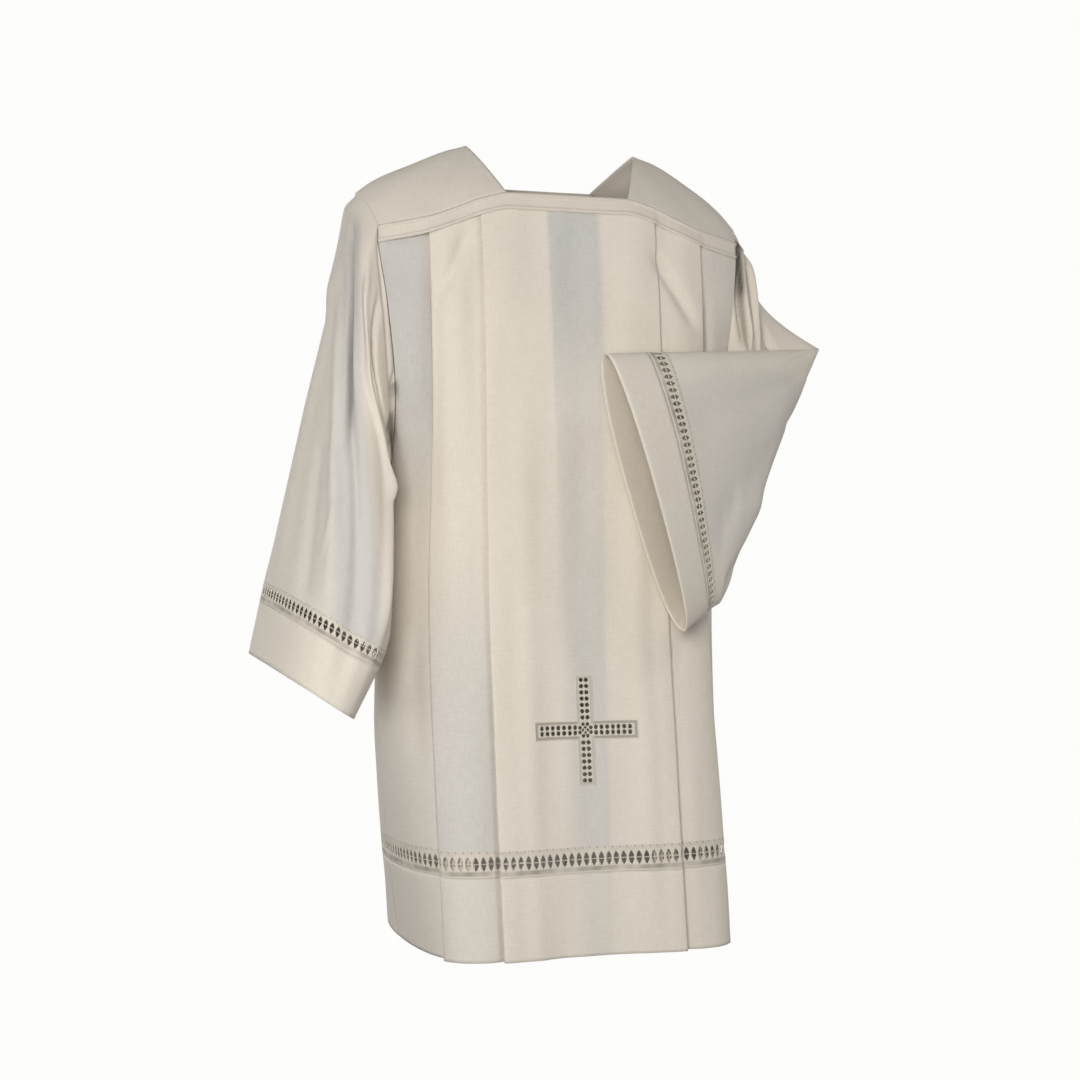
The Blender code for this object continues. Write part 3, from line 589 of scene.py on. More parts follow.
BENT_FOLDS = (
    (0.0140, 0.0065, ((0.03, 143), (0.10, 128), (0.22, 115), (0.45, 103), (0.70, 97))),
    (-0.0060, 0.0070, ((0.15, 152), (0.30, 134), (0.50, 119), (0.80, 107), (1.10, 101))),
    (0.0090, 0.0070, ((0.32, 152), (0.60, 138), (0.95, 122), (1.45, 109))),
    (-0.0050, 0.0100, ((0.60, 156), (1.00, 138), (1.50, 124), (2.60, 117))),
    (0.0080, 0.0100, ((0.45, 168), (1.20, 150), (2.00, 138), (3.60, 131))),
    (0.0090, 0.0110, ((0.40, 84), (1.50, 80), (3.50, 82))),
    (0.0080, 0.0130, ((0.60, 52), (2.00, 56), (3.60, 60))),
    (0.0070, 0.0120, ((0.30, 206), (2.00, 205), (3.60, 204))),
    (0.0100, 0.0140, ((0.30, 236), (2.00, 237), (4.00, 238))),
    (-0.0045, 0.0160, ((0.80, 268), (2.50, 268), (4.20, 268))),
    (0.0070, 0.0140, ((1.20, 296), (2.60, 294), (4.40, 292))),
    (0.0040, 0.0070, ((2.60, 224), (3.50, 216), (4.30, 226))),
    (0.0030, 0.0070, ((3.00, 246), (3.90, 250), (4.70, 258))),
    (0.0022, 0.0050, ((4.40, 196), (4.90, 204), (5.40, 214))),
    (0.0030, 0.0180, ((4.40, 222), (6.20, 236), (8.20, 246))),
    (0.0042, 0.0200, ((4.60, 262), (6.20, 276), (7.90, 292))),
    (-0.0030, 0.0140, ((4.60, 290), (5.60, 284), (6.80, 276))),
    (0.0060, 0.0260, ((4.40, 316), (5.60, 322), (7.40, 332))),
    (0.0030, 0.0180, ((4.60, 60), (6.00, 54), (8.00, 46))),
    (0.0050, 0.0180, ((4.40, 100), (6.00, 98), (8.00, 96))),
    (0.0040, 0.0160, ((4.20, 140), (6.00, 138), (8.00, 136))),
)
# Where a sleeve's one layer of cloth lets light through and looks greyer: by ring, the angles that bound an
# inner and an outer stretch, how much of the greyer tone each shows, and how soft its edges are, in degrees
THIN_COLUMNS = ("ring", "low", "middle", "high")
HANGING_THIN = (
    (0.0, 168, 182, 215),
    (1.0, 138, 168, 260),
    (2.2, 112, 146, 290),
    (3.8, 90, 130, 290),
    (6.0, 74, 118, 290),
    (8.5, 62, 108, 290),
)
BENT_THIN = (
    (3.4, 262, 263, 264),
    (4.4, 232, 262, 292),
    (5.5, 216, 258, 300),
    (7.0, 216, 260, 304),
    (8.5, 226, 262, 304),
)
HANGING_THIN_SHARES = (0.92, 0.20)
BENT_THIN_SHARES = (0.45, 0.45)
THIN_EDGE = 9
THIN_BLEND = 12


def yoke_edge(across, share, right):
    """Points of a yoke: across -1 at the front band, 0 on the shoulder ridge, 1 at the back band."""
    xs = column(RIDGE, RIDGE_COLUMNS, "x")
    zs = column(RIDGE, RIDGE_COLUMNS, "right_z" if right else "left_z")
    across, share = np.broadcast_arrays(across, share)
    outer = BAND_LINE[-1][0]
    seam_x = NECK_CORNER + share * (outer - NECK_CORNER)
    ridge_x = NECK_SHOULDER + share * (xs[-1] - NECK_SHOULDER)
    ridge = np.stack([ridge_x, RIDGE_Y * share, smooth(xs, zs, ridge_x)], -1)
    seams = []
    for side in ("front", "back"):
        z = band_line(seam_x, side) + BAND_HEIGHT
        seams.append(body_surface(seam_x, z, 0.0007 * (1 - share), side))
    seam = np.where((across < 0)[..., None], seams[0], seams[1])
    away = np.abs(across)
    rounding = 1.25 + 0.35 * share
    way = np.stack([away**1.2, away, away**rounding], -1)
    return ridge + (seam - ridge) * way


def armhole_loop(right, count):
    """Closed loop that the sleeve starts from: underarm, front panel, yoke, back panel. It is worked out in
    the steps of the panels' and the yoke's rows, so that it lies on their edges."""
    rows = len(ARMHOLE_HEIGHTS)
    place = np.arange(count) * (2 * rows + YOKE_ROWS - 1) / count
    sides = []
    for side, z in (
        ("front", np.interp(place, np.arange(rows), ARMHOLE_HEIGHTS[::-1])),
        ("back", np.interp(place, np.arange(rows) + rows + YOKE_ROWS, ARMHOLE_HEIGHTS)),
    ):
        sides.append(np.stack([body_level(z, "half"), body_level(z, "edge_" + side), z], -1))
    top = rows + YOKE_ROWS // 2
    yoke = yoke_edge(np.clip((place - top) / (YOKE_ROWS // 2), -1.0, 1.0), 1.0, right)
    onto = np.clip(place - (rows - 1), 0.0, 1.0)[:, None]
    off = np.clip(place - (rows + YOKE_ROWS - 1), 0.0, 1.0)[:, None]
    fore = sides[0] * (1 - onto) + yoke * onto
    rear = yoke * (1 - off) + sides[1] * off
    return np.where((place < top)[:, None], fore, rear)


def ring_angles(ring):
    """Angle of each point of the armhole loop about its middle: 0 at the underarm, pi at the top."""
    lower, upper = ring[0], ring[np.argmax(ring[:, 2])]
    middle = (lower + upper) / 2
    down = (middle[2] - ring[:, 2]) / (middle[2] - lower[2])
    fore = (middle[1] - ring[:, 1]) / np.abs(ring[:, 1] - middle[1]).max()
    return np.unwrap(np.arctan2(fore, down))


def sleeve_grid(right, down, count):
    """Points of a sleeve for +X, down rows by count columns, and the angle of each column.

    Ring: middle + (lower - middle) cos + depth |sin|, to a power of both, then a soft curve along the rings.
    """
    start = armhole_loop(right, count)
    angles = ring_angles(start)
    cosine = np.sign(np.cos(angles)) * np.abs(np.cos(angles)) ** RING_POWER
    sine = np.abs(np.sin(angles)) ** RING_POWER
    table = HANGING if right else BENT
    upper, lower, fore, rear = (column(table, SLEEVE_COLUMNS, name)[:, None] for name in SLEEVE_COLUMNS)
    middle = (upper + lower) / 2
    depth = np.where(np.sin(angles)[:, None] > 0, fore, rear)
    loops = middle + (lower - middle) * cosine[:, None] + depth * sine[:, None]
    rings = np.concatenate([start[None], loops])
    return smooth(np.arange(len(rings)), rings, down), np.degrees(angles)


def grid_normals(points):
    """Outward directions of a tube's points, for +X."""
    across = np.roll(points, -1, axis=1) - np.roll(points, 1, axis=1)
    normal = unit(np.cross(np.gradient(points, axis=0), across))
    outward = (normal * (points - points.mean(axis=1, keepdims=True))).sum()
    return normal * np.sign(outward)


def fold_heights(rings, angles, folds):
    """Height of a sleeve's folds: each is a bell of the distance, over the sleeve laid flat, to a smooth line
    through its points, with soft ends."""
    flat = np.stack(np.broadcast_arrays(rings[:, None] * RING_LENGTH, angles[None] * DEGREE_LENGTH), -1)
    round_the_sleeve = 360 * DEGREE_LENGTH
    height = np.zeros(flat.shape[:2])
    for depth, width, line in folds:
        places = np.linspace(0, len(line) - 1, 6 * len(line) - 5)
        path = smooth(np.arange(len(line)), np.array(line) * (RING_LENGTH, DEGREE_LENGTH), places)
        nearest = np.full(height.shape, np.inf)
        along = np.zeros(height.shape)
        for k, (one, two) in enumerate(zip(path, path[1:])):
            run = two - one
            away = flat - one
            away[..., 1] = (away[..., 1] + round_the_sleeve / 2) % round_the_sleeve - round_the_sleeve / 2
            way = np.clip(away @ run / (run @ run), 0.0, 1.0)
            gap = np.linalg.norm(away - way[..., None] * run, axis=-1)
            along = np.where(gap < nearest, (k + way) / (len(path) - 1), along)
            nearest = np.minimum(gap, nearest)
        ends = ease(0.0, 0.22, along) * (1 - ease(0.78, 1.0, along))
        height -= depth * np.exp(-((nearest / width) ** 2)) * ends
    return height * ease(0.0, 0.10, rings)[:, None]


def thin_share(rings, angles, table, inner, outer):
    """0 to 1 over a sleeve: the inner share from the low angle to the middle one, then the outer one."""
    marks = column(table, THIN_COLUMNS, "ring")
    low, middle, high = (np.interp(rings, marks, column(table, THIN_COLUMNS, name))[:, None]
                         for name in THIN_COLUMNS[1:])
    share = inner + (outer - inner) * ease(middle - THIN_BLEND, middle + THIN_BLEND, angles[None])
    share = share * ease(low - THIN_EDGE, low + THIN_EDGE, angles[None])
    share = share * (1 - ease(high - THIN_BLEND, high + THIN_BLEND, angles[None]))
    return share * ease(marks[0], marks[0] + 0.8, rings)[:, None]


# Painted shade where a fold closes over itself, so that little light would reach its bottom: how dark, how
# wide, and its line. The spots of painted shade are at the underarm, in the gaps between sleeve and body:
# their line's points, how wide, and how dark.
HANGING_CREVICES = (
    (0.46, 0.0065, ((0.60, 170), (1.00, 161), (1.60, 147), (2.40, 135), (3.30, 121), (4.80, 108))),
    (0.42, 0.0040, ((0.60, 105), (1.05, 101), (1.45, 95), (1.45, 84), (1.10, 70), (0.50, 52))),
)
BENT_CREVICES = (
    (0.50, 0.0048, ((-0.10, 150), (0.08, 146), (0.20, 130), (0.40, 113), (0.70, 98), (1.00, 92))),
    (0.45, 0.0060, ((-0.05, 150), (0.10, 142), (0.20, 133), (0.30, 124), (0.38, 115))),
    (0.25, 0.0048, ((0.45, 146), (0.70, 134), (1.00, 121), (1.60, 108))),
)
CREVICE_SPOTS = (
    (((-0.209, -0.058, -0.298), (-0.208, -0.057, -0.309)), 0.0042, 1.00),
    (((-0.212, -0.048, -0.335), (-0.208, -0.042, -0.356), (-0.206, -0.040, -0.382)), 0.0048, 1.00),
    (((-0.221, -0.098, -0.444), (-0.220, -0.098, -0.470)), 0.0034, 0.60),
)


def crevice(points):
    """0 to 1 at each point: how much painted shade it gets from nearness to a crevice's spot, as a bell of
    the distance to its line.
    """
    found = np.zeros(points.shape[:-1])
    for line, half_width, share in CREVICE_SPOTS:
        for one, two in zip(np.array(line), np.array(line)[1:]):
            way = np.clip(((points - one) @ (two - one)) / ((two - one) @ (two - one)), 0.0, 1.0)
            away = np.linalg.norm(points - one - way[..., None] * (two - one), axis=-1)
            found = np.maximum(found, share * np.exp(-((away / half_width) ** 2)))
    return found


# Materials: tones, where the cloth is whole, where it is thin (with painted shade beside the outer pleats),
# where it is sewn (with painted shade over the bands) and the painted shade deep in a fold. Then the sizes of
# its unevenness, which are a slub's width and length, a crumple, and a change of tone, and its matt finish.
CLOTH_TONES = ("E9E1D5", "DFD6C8")
OPENWORK_TONES = ("E2DACD", "DAD2C4")
THIN_AND_SHADE_TONES = ("D3D0CB", "C6C3BF")
CLOTH_SEWN_AND_SHADE = "A8A094"
OPENWORK_SEWN = "857E74"
CREVICE_SHADE_TONE = "37332C"
SLUB_SIZE = (0.0011, 0.016)
CRUMPLE_SIZE = 0.045
TONE_SIZE = 0.12
MATT = {"Roughness": 0.88, "Specular IOR Level": 0.25, "Sheen Weight": 0.12, "Sheen Roughness": 0.5}


def linear(*hexes):
    """Linear colours from sRGB ones."""
    found = []
    for text in hexes:
        parts = [int(text[i : i + 2], 16) / 255 for i in (0, 2, 4)]
        curved = [part / 12.92 if part <= 0.04045 else ((part + 0.055) / 1.055) ** 2.4 for part in parts]
        found.append((*curved, 1.0))
    return found if len(found) > 1 else found[0]


def add_node(tree, kind, inputs=None, **settings):
    """A shader node with its settings, and with its inputs set to values or linked to sockets."""
    node = tree.nodes.new("ShaderNode" + kind)
    for name, value in settings.items():
        setattr(node, name, value)
    for name, value in (inputs or {}).items():
        if isinstance(value, bpy.types.NodeSocket):
            tree.links.new(value, node.inputs[name])
        else:
            node.inputs[name].default_value = value
    return node


def mix_colours(tree, factor, first, second):
    """First colour at 0, second at 1."""
    return add_node(tree, "Mix", {0: factor, 6: first, 7: second}, data_type="RGBA").outputs[2]


def woven(name, tones, sewn_and_shade, weave=0.0015, depth=0.00010):
    """Plain-woven light wool and polyester cloth, matt and off-white, with slubs along both threads.

    tones: the cloth's two close tones. sewn_and_shade: its tone where it is stitched, which on the bands is
    also
    painted shade. weave: the thread spacing, drawn coarser than real so that it reads. depth: the height of a
    thread.
    """
    material = bpy.data.materials.new(name)
    material.use_nodes = True
    tree = material.node_tree
    shader = tree.nodes["Principled BSDF"]
    plan = add_node(tree, "UVMap", uv_map="cloth").outputs["UV"]
    where = add_node(tree, "TexCoord").outputs["Object"]
    parts = add_node(tree, "SeparateXYZ", {0: plan})
    threads = []
    for axis in (0, 1):
        turns = add_node(tree, "Math", {0: parts.outputs[axis], 1: math.tau / weave}, operation="MULTIPLY")
        threads.append(add_node(tree, "Math", {0: turns.outputs[0]}, operation="SINE").outputs[0])
    weave_height = add_node(tree, "Math", {0: threads[0], 1: threads[1]}, operation="MULTIPLY").outputs[0]
    slubs = []
    across, along = (1 / size for size in SLUB_SIZE)
    for stretch in ((across, along, 1.0), (along, across, 1.0)):
        moved = add_node(tree, "Mapping", {"Vector": plan, "Scale": stretch})
        noise = add_node(tree, "TexNoise", {"Vector": moved.outputs[0], "Scale": 1.0, "Detail": 2.0})
        slubs.append(noise.outputs["Fac"])
    slub = add_node(tree, "Math", {0: slubs[0], 1: slubs[1]}, operation="ADD").outputs[0]
    crumple = add_node(tree, "TexNoise", {"Vector": where, "Scale": 1 / CRUMPLE_SIZE, "Detail": 3.0,
                                          "Roughness": 0.45})
    height = add_node(tree, "Math", {0: weave_height, 1: 0.5, 2: slub}, operation="MULTIPLY_ADD").outputs[0]
    fine = add_node(tree, "Bump", {"Height": height, "Strength": 0.35, "Distance": depth})
    soft = add_node(tree, "Bump", {"Height": crumple.outputs["Fac"], "Strength": 0.45, "Distance": 0.0018,
                                   "Normal": fine.outputs[0]})
    tone = add_node(tree, "TexNoise", {"Vector": where, "Scale": 1 / TONE_SIZE, "Detail": 2.0})
    thread = add_node(tree, "Math", {0: slub, 1: 1.6, 2: -1.35}, operation="MULTIPLY_ADD").outputs[0]
    blend = add_node(tree, "Math", {0: tone.outputs["Fac"], 1: 0.5, 2: thread}, operation="MULTIPLY_ADD")
    mixed = mix_colours(tree, blend.outputs[0], *linear(*tones))
    # Greyer tone of a single layer, which beside the outer pleats is also painted shade.
    thin_and_shade_tone = mix_colours(tree, blend.outputs[0], *linear(*THIN_AND_SHADE_TONES))
    thin_and_shade_share = add_node(tree, "Attribute", attribute_name="thin")
    mixed = mix_colours(tree, thin_and_shade_share.outputs["Fac"], mixed, thin_and_shade_tone)
    stitched = add_node(tree, "Attribute", attribute_name="stitched")
    mixed = mix_colours(tree, stitched.outputs["Fac"], mixed, linear(sewn_and_shade))
    # Painted shade: a near-black tone at the bottoms of deep folds and in the gaps between sleeve and body at
    # the underarm.
    closed = add_node(tree, "Attribute", attribute_name="crevice")
    colour = mix_colours(tree, closed.outputs["Fac"], mixed, linear(CREVICE_SHADE_TONE))
    tree.links.new(colour, shader.inputs["Base Color"])
    tree.links.new(soft.outputs[0], shader.inputs["Normal"])
    for socket, value in MATT.items():
        shader.inputs[socket].default_value = value
    return material


# Pieces


def top_level(x):
    """Height of the uppermost layer of the pleats, in pleat rises, which the bands follow."""
    x = np.abs(x)
    level = np.zeros(np.shape(x))
    for edge, (low, high) in zip(PLEAT_EDGES, PLEAT_RISES):
        level = np.where(x < edge, np.maximum(level, ease(low, high, x)), np.minimum(1.0, level))
        level = np.where(x < edge, level, 1 - ease(edge, edge + 0.009, x))
    return level


def in_cross(x, z, margin=0.0):
    """Whether a place is inside the cross, narrowed by a margin."""
    down = np.abs(z - CROSS_CENTRE)
    across = np.abs(x)
    upright = (across < CROSS_ARM_HALF - margin) & (down < CROSS_HALF - margin)
    arms = (down < CROSS_ARM_HALF - margin) & (across < CROSS_HALF - margin)
    return upright | arms


def near_gap(x, z, holes):
    """Whether a place is in one of the gaps, each an ellipse with its middle and its half sizes."""
    found = np.zeros(np.broadcast(x, z).shape, bool)
    for gap_x, gap_z, half_x, half_z in holes:
        found |= ((x - gap_x) / half_x) ** 2 + ((z - CROSS_CENTRE - gap_z) / half_z) ** 2 < 1
    return found


def cross_gaps():
    """Gaps of the cross: pairs up the upright and along the arms, and two rings of them where they meet."""
    gaps = []
    wide, tall = CROSS_GAP
    for row in CROSS_ROWS:
        for sign in (-1, 1):
            for side in (-CROSS_PAIR, CROSS_PAIR):
                gaps.append((side, sign * row * CROSS_UPRIGHT_PITCH, wide, tall))
                gaps.append((sign * (row * CROSS_ARM_PITCH - CROSS_ARM_SHIFT), side, tall, wide))
    for count, start, radius, half in CROSS_RINGS:
        for turn in range(count):
            angle = math.tau * (turn + start) / count
            gaps.append((radius * math.cos(angle), radius * math.sin(angle), half, half))
    return gaps


def place_of_faces(points):
    """Middle of each face of a grid."""
    return (points[1:, 1:] + points[:-1, 1:] + points[1:, :-1] + points[:-1, :-1]) / 4


def add_panel(side, material):
    """The front is left open for the cross, and the back looks thin, with painted shade, only beside its
    outer pleats.
    """
    path = whole_path(PANEL_SPACING, (CROSS_ARM_HALF, CROSS_HALF))
    centre = [CROSS_CENTRE + way for way in (CROSS_HALF, CROSS_ARM_HALF, -CROSS_ARM_HALF, -CROSS_HALF)]
    top = band_line(0.0, side) + TUCK
    heights = steps([float(top)] + centre + [LADDER_TOP - SEAM_LAP], ROW_SPACING)
    points = panel_grid(path, heights, side, top=TUCK)
    keep = None
    if side == "front":
        faces = place_of_faces(points)
        keep = ~in_cross(faces[..., 0], faces[..., 2])
    thin = single_layer_and_shade(path, path_places(path, points[..., 2]), points[..., 2])
    if side == "back":
        thin = np.where(np.abs(path[:, 1]) > 0, STRIP_SHADE_BACK * thin, 0.0)
    return add_grid("surplice_" + side, points, material, flip=side == "back", keep=keep, thin=thin)


def add_cross(material):
    """The cross: a fine grid on the front, kept inside the two arms and outside its gaps, with a dark rim."""
    x = np.arange(-CROSS_HALF - CROSS_LAP, CROSS_HALF + CROSS_LAP + 0.0001, CROSS_CELL)
    z = CROSS_CENTRE - x
    path = np.stack([x, 0 * x, top_level(x), 0 * x], -1)
    points = panel_grid(path, z, "front", lift=CROSS_LIFT)
    across, down = np.broadcast_arrays(x[None], z[:, None])
    middle_x, middle_z = (x[1:] + x[:-1])[None] / 2, (z[1:] + z[:-1])[:, None] / 2
    gaps = cross_gaps()
    keep = in_cross(middle_x, middle_z, -CROSS_LAP) & ~near_gap(middle_x, middle_z, gaps)
    rim = in_cross(across, down) & ~in_cross(across, down, CROSS_RIM)
    dotted = (np.round(across / CROSS_CELL) + np.round(down / CROSS_CELL)) % 3 == 0
    arm = np.abs(across) > CROSS_ARM_HALF
    stitched = np.where(rim, np.where(arm, 0.60, 0.30), 0.06)
    stitched = stitched + np.where(dotted & in_cross(across, down), 0.10, 0.0)
    return add_grid("cross_work", points, material, keep=keep, wall=CROSS_WALL, stitched=stitched)


LADDER_ROWS = (0.0, 0.05, 0.09, 0.14, 0.18, 0.22, 0.26, 0.31, 0.36, 0.41, 0.457, 0.483,
               0.53, 0.58, 0.63, 0.68, 0.72, 0.77, 0.82, 0.88, 0.94, 1.0)


def ladder(points, pitch, closed):
    """An openwork strip over a dense grid that has the ladder's rows: the points, kept faces and stitching.

    Each repeat is a spindle-shaped gap, widest at its middle, where a thread ties the bars on both sides.
    """
    looped = np.concatenate([points, points[:, :1]], axis=1) if closed else points
    run = lengths(looped, 1)
    count = int(round(run[-1] / pitch))
    rows = np.array(LADDER_ROWS)
    inside = np.clip((rows - GAP_SPAN[0]) / (GAP_SPAN[1] - GAP_SPAN[0]), 0.0, 1.0)
    half = np.maximum(GAP_HALF_SHARE * np.sin(math.pi * inside) ** 0.75, 0.05)
    beside = (half + 0.5) / 2
    offsets = np.stack([-0.5 + 0 * half, -beside, -half, 0 * half, half, beside], -1)
    places = (np.arange(count)[None, :, None] + 0.5 + offsets[:, None, :]).reshape(len(rows), -1)
    if not closed:
        places = np.concatenate([places, np.full((len(rows), 1), float(count))], axis=1)
    along = np.clip(places / count, 0.0, 1.0) * run[-1]
    k = np.clip(np.searchsorted(run, along, side="right") - 1, 0, len(run) - 2)
    share = ((along - run[k]) / (run[k + 1] - run[k]))[..., None]
    row = np.arange(len(rows))[:, None]
    strip = looped[row, k] * (1 - share) + looped[row, k + 1] * share
    each = offsets.shape[1]
    middle = (rows[1:] + rows[:-1]) / 2
    in_span = (middle > GAP_SPAN[0]) & (middle < GAP_SPAN[1])
    open_row = in_span & (np.abs(middle - sum(GAP_SPAN) / 2) > TIE_HALF)
    gap_column = np.isin(np.arange(count * each) % each, (2, 3))
    keep = ~(open_row[:, None] & gap_column[None])
    margin = np.where((rows > 0.07) & (rows < 0.16), 0.20, 0.06)
    margin = np.where((rows > 0.75) & (rows < 0.90), 0.72, margin)
    stitch = (np.arange(strip.shape[1]) % 3 == 0)[None] & (np.abs(rows - 0.05) < 0.02)[:, None]
    dots = np.where(stitch, 0.9, 0.0)
    streaks = 0.62 + 0.25 * np.sin(along * 83 + 6 * rows[:, None]) + 0.13 * np.sin(along * 331 + 1.7)
    return strip, keep, np.maximum(margin[:, None] * streaks, dots)


def add_ladder(name, points, material, pitch=LADDER_PITCH, closed=False, flip=False):
    """A ladder's piece, a thin wall, sewn where its margins are."""
    strip, keep, stitched = ladder(points, pitch, closed)
    return add_grid(name, strip, material, closed, flip, keep, LADDER_WALL, stitched=stitched)


def add_hem(side, material):
    """The hem is turned up double, so the greyer tone of a single layer, with the painted shade beside the
    outer pleats, shows at less than half strength.
    """
    heights = steps([LADDER_BOTTOM + SEAM_LAP, HEM_EDGE + 0.008, HEM_EDGE], ROW_SPACING)
    path = whole_path(PANEL_SPACING)
    points = panel_grid(path, heights, side)
    thin = HEM_THIN[side] * single_layer_and_shade(path, path_places(path, points[..., 2]), points[..., 2])
    return add_grid("hem_cloth_" + side, points, material, flip=side == "back", wall=CLOTH_WALL, thin=thin)


def add_band(side, material):
    """A band: a rounded cord along each long edge, stitched down on both sides, and flat cloth between, all
    of it darkened a little by painted shade.
    """
    half = steps([0.0, *PLEAT_EDGES, BAND_LINE[-1][0]], BAND_SPACING)
    x = np.concatenate([-half[:0:-1], half])[None]
    share = np.linspace(1.0, 0.0, BAND_ROWS)[:, None]
    z = band_line(x, side) + share * BAND_HEIGHT
    ridge = np.zeros_like(share)
    for middle in CORD_PLACES:
        ridge += np.cos(np.clip((share - middle) / CORD_HALF, -1, 1) * math.pi / 2) ** 1.5
    out = BAND_RISE + top_level(x) * RISE_TOP * (1 - share) + CORD_RISE * ridge + 0.5 * uneven(x, z, side)
    points = body_surface(x + 0 * z, z, out, side)
    seam = np.minimum(*(np.abs(share - place) for place in BAND_STITCHES))
    # Painted shade at 0.12 over the whole band, and 0.05 more along the rows of stitches.
    stitched = 0.12 + 0.05 * np.exp(-((seam / 0.02) ** 2)) + 0 * x
    name = "corded_band_" + side
    return add_grid(name, points, material, flip=side == "back", wall=CLOTH_WALL, stitched=stitched)


def add_yoke(right, material):
    """A yoke: ridge + (seam - ridge) to powers of the way across, with a slight pull of under 2 mm."""
    across = np.linspace(-1.0, 1.0, YOKE_GRID[0])[:, None]
    share = np.linspace(0.0, 1.0, YOKE_GRID[1])[None]
    points = yoke_edge(across, share, right)
    pull = 0.0016 * np.sin(share * 9 + across * 5) * np.sin(across * 3.1 + 0.6)
    points[..., 2] += pull * ease(0.0, 0.2, share) * (1 - ease(0.85, 1.0, share)) * (1 - np.abs(across) ** 4)
    name = "right" if right else "left"
    points = points * ((-1.0, 1.0, 1.0) if right else 1.0)
    return add_grid("yoke_cloth_" + name, points, material, flip=not right, wall=CLOTH_WALL)


def sleeve_cloth(right, down, count):
    """Points of a sleeve with its folds, mirrored for the right arm."""
    points, angles = sleeve_grid(right, down, count)
    normals = grid_normals(points)
    height = fold_heights(np.asarray(down), angles, HANGING_FOLDS if right else BENT_FOLDS)
    height += (0.0018 * ease(0.0, 0.25, down) - 0.0010)[:, None] * (1 - ease(6.5, 8.0, down))[:, None]
    wave = np.sin(np.radians(angles) * 5 + 1.1)[None] * np.sin(np.asarray(down) * 1.3 + 0.5)[:, None]
    height += 0.0006 * wave * ease(0.2, 1.0, down)[:, None]
    return (points + normals * height[..., None]) * ((-1.0, 1.0, 1.0) if right else 1.0)


def add_sleeve(right, cloth, openwork):
    """A sleeve's three pieces, each a tube on the same rings: the cloth, its ladder and its cuff."""
    name = "right" if right else "left"
    last = len(HANGING)
    down = np.linspace(0.0, last - 1, SLEEVE_ROWS)
    points = sleeve_cloth(right, down, SLEEVE_ROUND)
    angles = sleeve_grid(right, down, SLEEVE_ROUND)[1]
    table, shares = (HANGING_THIN, HANGING_THIN_SHARES) if right else (BENT_THIN, BENT_THIN_SHARES)
    thin = thin_share(down, angles, table, *shares)
    # Painted shade along the bottoms of the sleeve's deep folds.
    dark = -fold_heights(down, angles, HANGING_CREVICES if right else BENT_CREVICES)
    sleeve = add_grid("sleeve_cloth_" + name, points, cloth, True, right, thin=thin, crevice=dark)
    rows = last - 1 + CUFF_LADDER_SHARE * np.array(LADDER_ROWS)
    fine = sleeve_cloth(right, rows, LADDER_ROUND)
    strip = add_ladder("sleeve_ladder_" + name, fine, openwork, SLEEVE_PITCH, True, right)
    rows = np.linspace(last - 1 + CUFF_LADDER_SHARE, last, CUFF_ROWS)
    points = sleeve_cloth(right, rows, SLEEVE_ROUND)
    cuff = add_grid("cuff_cloth_" + name, points, cloth, True, right, None, CLOTH_WALL)
    return sleeve, strip, cuff


# Light and camera: the walls' and floor's tone, and the soft lights by place, aim, size, power and colour
PALE = "FDFDFB"
WARM = (1.0, 0.98, 0.95)
LIGHTS = {
    "key": ((-0.74, -1.62, -0.22), (0.0, -0.10, -0.45), 0.7, 18.9, (1.0, 0.98, 0.945)),
    "fill_side": ((-1.7, -0.9, -0.6), (0.0, 0.0, -0.5), 0.9, 4.5, (1.0, 0.985, 0.96)),
    "fill_top": ((0.9, -1.3, 1.3), (0.15, 0.0, -0.2), 0.9, 6.6, WARM),
    "fill_low": ((0.45, -1.5, -1.45), (0.1, 0.0, -0.9), 0.8, 2.4, (1.0, 0.985, 0.955)),
    "side_left": ((2.1, 0.3, -0.35), (0.2, 0.0, -0.45), 1.0, 9.0, WARM),
    "rear_right": ((-1.1, 2.0, 0.1), (0.0, 0.0, -0.45), 1.2, 23.0, WARM),
    "rear_left": ((1.4, 1.9, 0.1), (0.0, 0.0, -0.45), 1.2, 23.0, WARM),
}


def add_light(name, place, aim, size, power, colour):
    """A square soft light at a place, turned to face its aim."""
    data = bpy.data.lights.new(name, "AREA")
    data.size = size
    data.energy = power
    data.color = colour
    light = bpy.data.objects.new(name, data)
    bpy.context.scene.collection.objects.link(light)
    light.location = place
    away = np.array(place, float) - np.array(aim, float)
    level = math.hypot(away[0], away[1])
    light.rotation_euler = (math.atan2(level, away[2]), 0.0, math.atan2(away[0], -away[1]))
    return light


def add_world(seen, lighting, strength):
    """A near-white room: its pale walls are seen, and the cloth gets a softer, cooler light from them."""
    world = bpy.data.worlds.new("pale_room")
    world.use_nodes = True
    bpy.context.scene.world = world
    tree = world.node_tree
    tree.nodes.clear()
    wall = add_node(tree, "Background", {"Color": seen, "Strength": 1.0})
    glow = add_node(tree, "Background", {"Color": lighting, "Strength": strength})
    rays = add_node(tree, "LightPath")
    shaders = {0: rays.outputs["Is Camera Ray"], 1: glow.outputs[0], 2: wall.outputs[0]}
    mixed = add_node(tree, "MixShader", shaders)
    add_node(tree, "OutputWorld", {"Surface": mixed.outputs[0]})


def add_camera():
    """The camera: level, turned by the view's angle, and that far from its target."""
    data = bpy.data.cameras.new("camera")
    data.sensor_width = SENSOR
    data.lens = FOCAL_PIXELS / IMAGE_SIZE * SENSOR
    data.shift_x = -TARGET_OFFSET_PIXELS / IMAGE_SIZE
    camera = bpy.data.objects.new("camera", data)
    bpy.context.scene.collection.objects.link(camera)
    forward = np.array([-math.sin(VIEW_TURN), math.cos(VIEW_TURN), 0.0])
    camera.location = np.array(VIEW_TARGET) - forward * VIEW_DISTANCE
    camera.rotation_euler = (math.pi / 2, 0.0, VIEW_TURN)
    bpy.context.scene.camera = camera


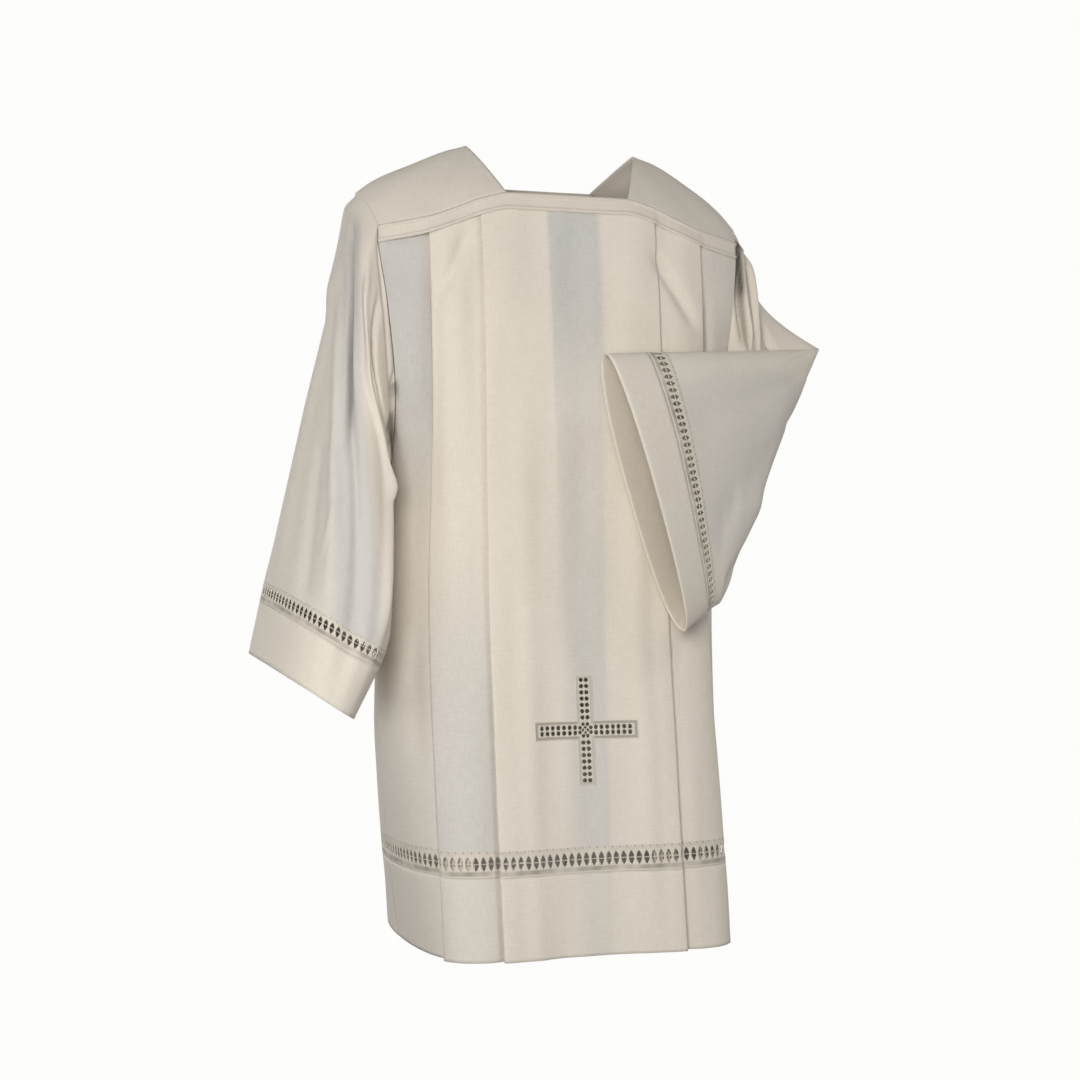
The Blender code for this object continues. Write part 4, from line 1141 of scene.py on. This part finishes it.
def add_floor():
    """A floor as pale as the walls, so that its edges don't show."""
    mesh = bpy.data.meshes.new("floor")
    corners = [(-1.0, -1.0), (1.0, -1.0), (1.0, 1.0), (-1.0, 1.0)]
    points = [(x * FLOOR_HALF, y * FLOOR_HALF, FLOOR_HEIGHT) for x, y in corners]
    mesh.from_pydata(points, [], [[0, 1, 2, 3]])
    material = bpy.data.materials.new("pale_studio_floor")
    material.use_nodes = True
    tree = material.node_tree
    tree.nodes.clear()
    glow = add_node(tree, "Emission", {"Color": linear(PALE), "Strength": 1.0})
    add_node(tree, "OutputMaterial", {"Surface": glow.outputs[0]})
    mesh.materials.append(material)
    floor = bpy.data.objects.new("floor", mesh)
    bpy.context.scene.collection.objects.link(floor)
    floor.visible_diffuse = False


def dress(piece, nodes):
    """Sets a piece on its body in place of its solids."""
    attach(piece, "root")
    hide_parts(*nodes)


def nodes_named(prefix):
    """The frame's nodes whose names start so."""
    return [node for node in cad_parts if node.startswith(prefix)]


def build():
    """All pieces, each on the nodes that it stands for."""
    cloth = woven("plain_woven_wool_blend", CLOTH_TONES, CLOTH_SEWN_AND_SHADE)
    openwork = woven("drawn_thread_openwork", OPENWORK_TONES, OPENWORK_SEWN, 0.0012, 0.00016)
    cross = add_cross(openwork)
    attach(cross, "root")
    for side in ("front", "back"):
        dress(add_panel(side, cloth), [side + "_panel"])
        heights = LADDER_TOP + (LADDER_BOTTOM - LADDER_TOP) * np.array(LADDER_ROWS)
        fine = panel_grid(whole_path(LADDER_SPACING), heights, side)
        strip = add_ladder("hem_ladder_" + side, fine, openwork, flip=side == "back")
        dress(strip, ["openwork_" + side])
        dress(add_hem(side, cloth), ["hem_" + side])
        dress(add_band(side, cloth), ["band_" + side])
    for right in (True, False):
        name = "right" if right else "left"
        dress(add_yoke(right, cloth), ["yoke_" + name])
        sleeve, strip, cuff = add_sleeve(right, cloth, openwork)
        dress(sleeve, nodes_named(f"sleeve_{name}_"))
        dress(strip, nodes_named(f"sleeve_openwork_{name}_"))
        dress(cuff, ["cuff_" + name])


build()
add_floor()
add_camera()
add_world(linear(PALE), (0.92, 0.96, 1.0, 1.0), 0.15)
for title, settings in LIGHTS.items():
    add_light(title, *settings)
bpy.context.scene.view_settings.view_transform = "Standard"
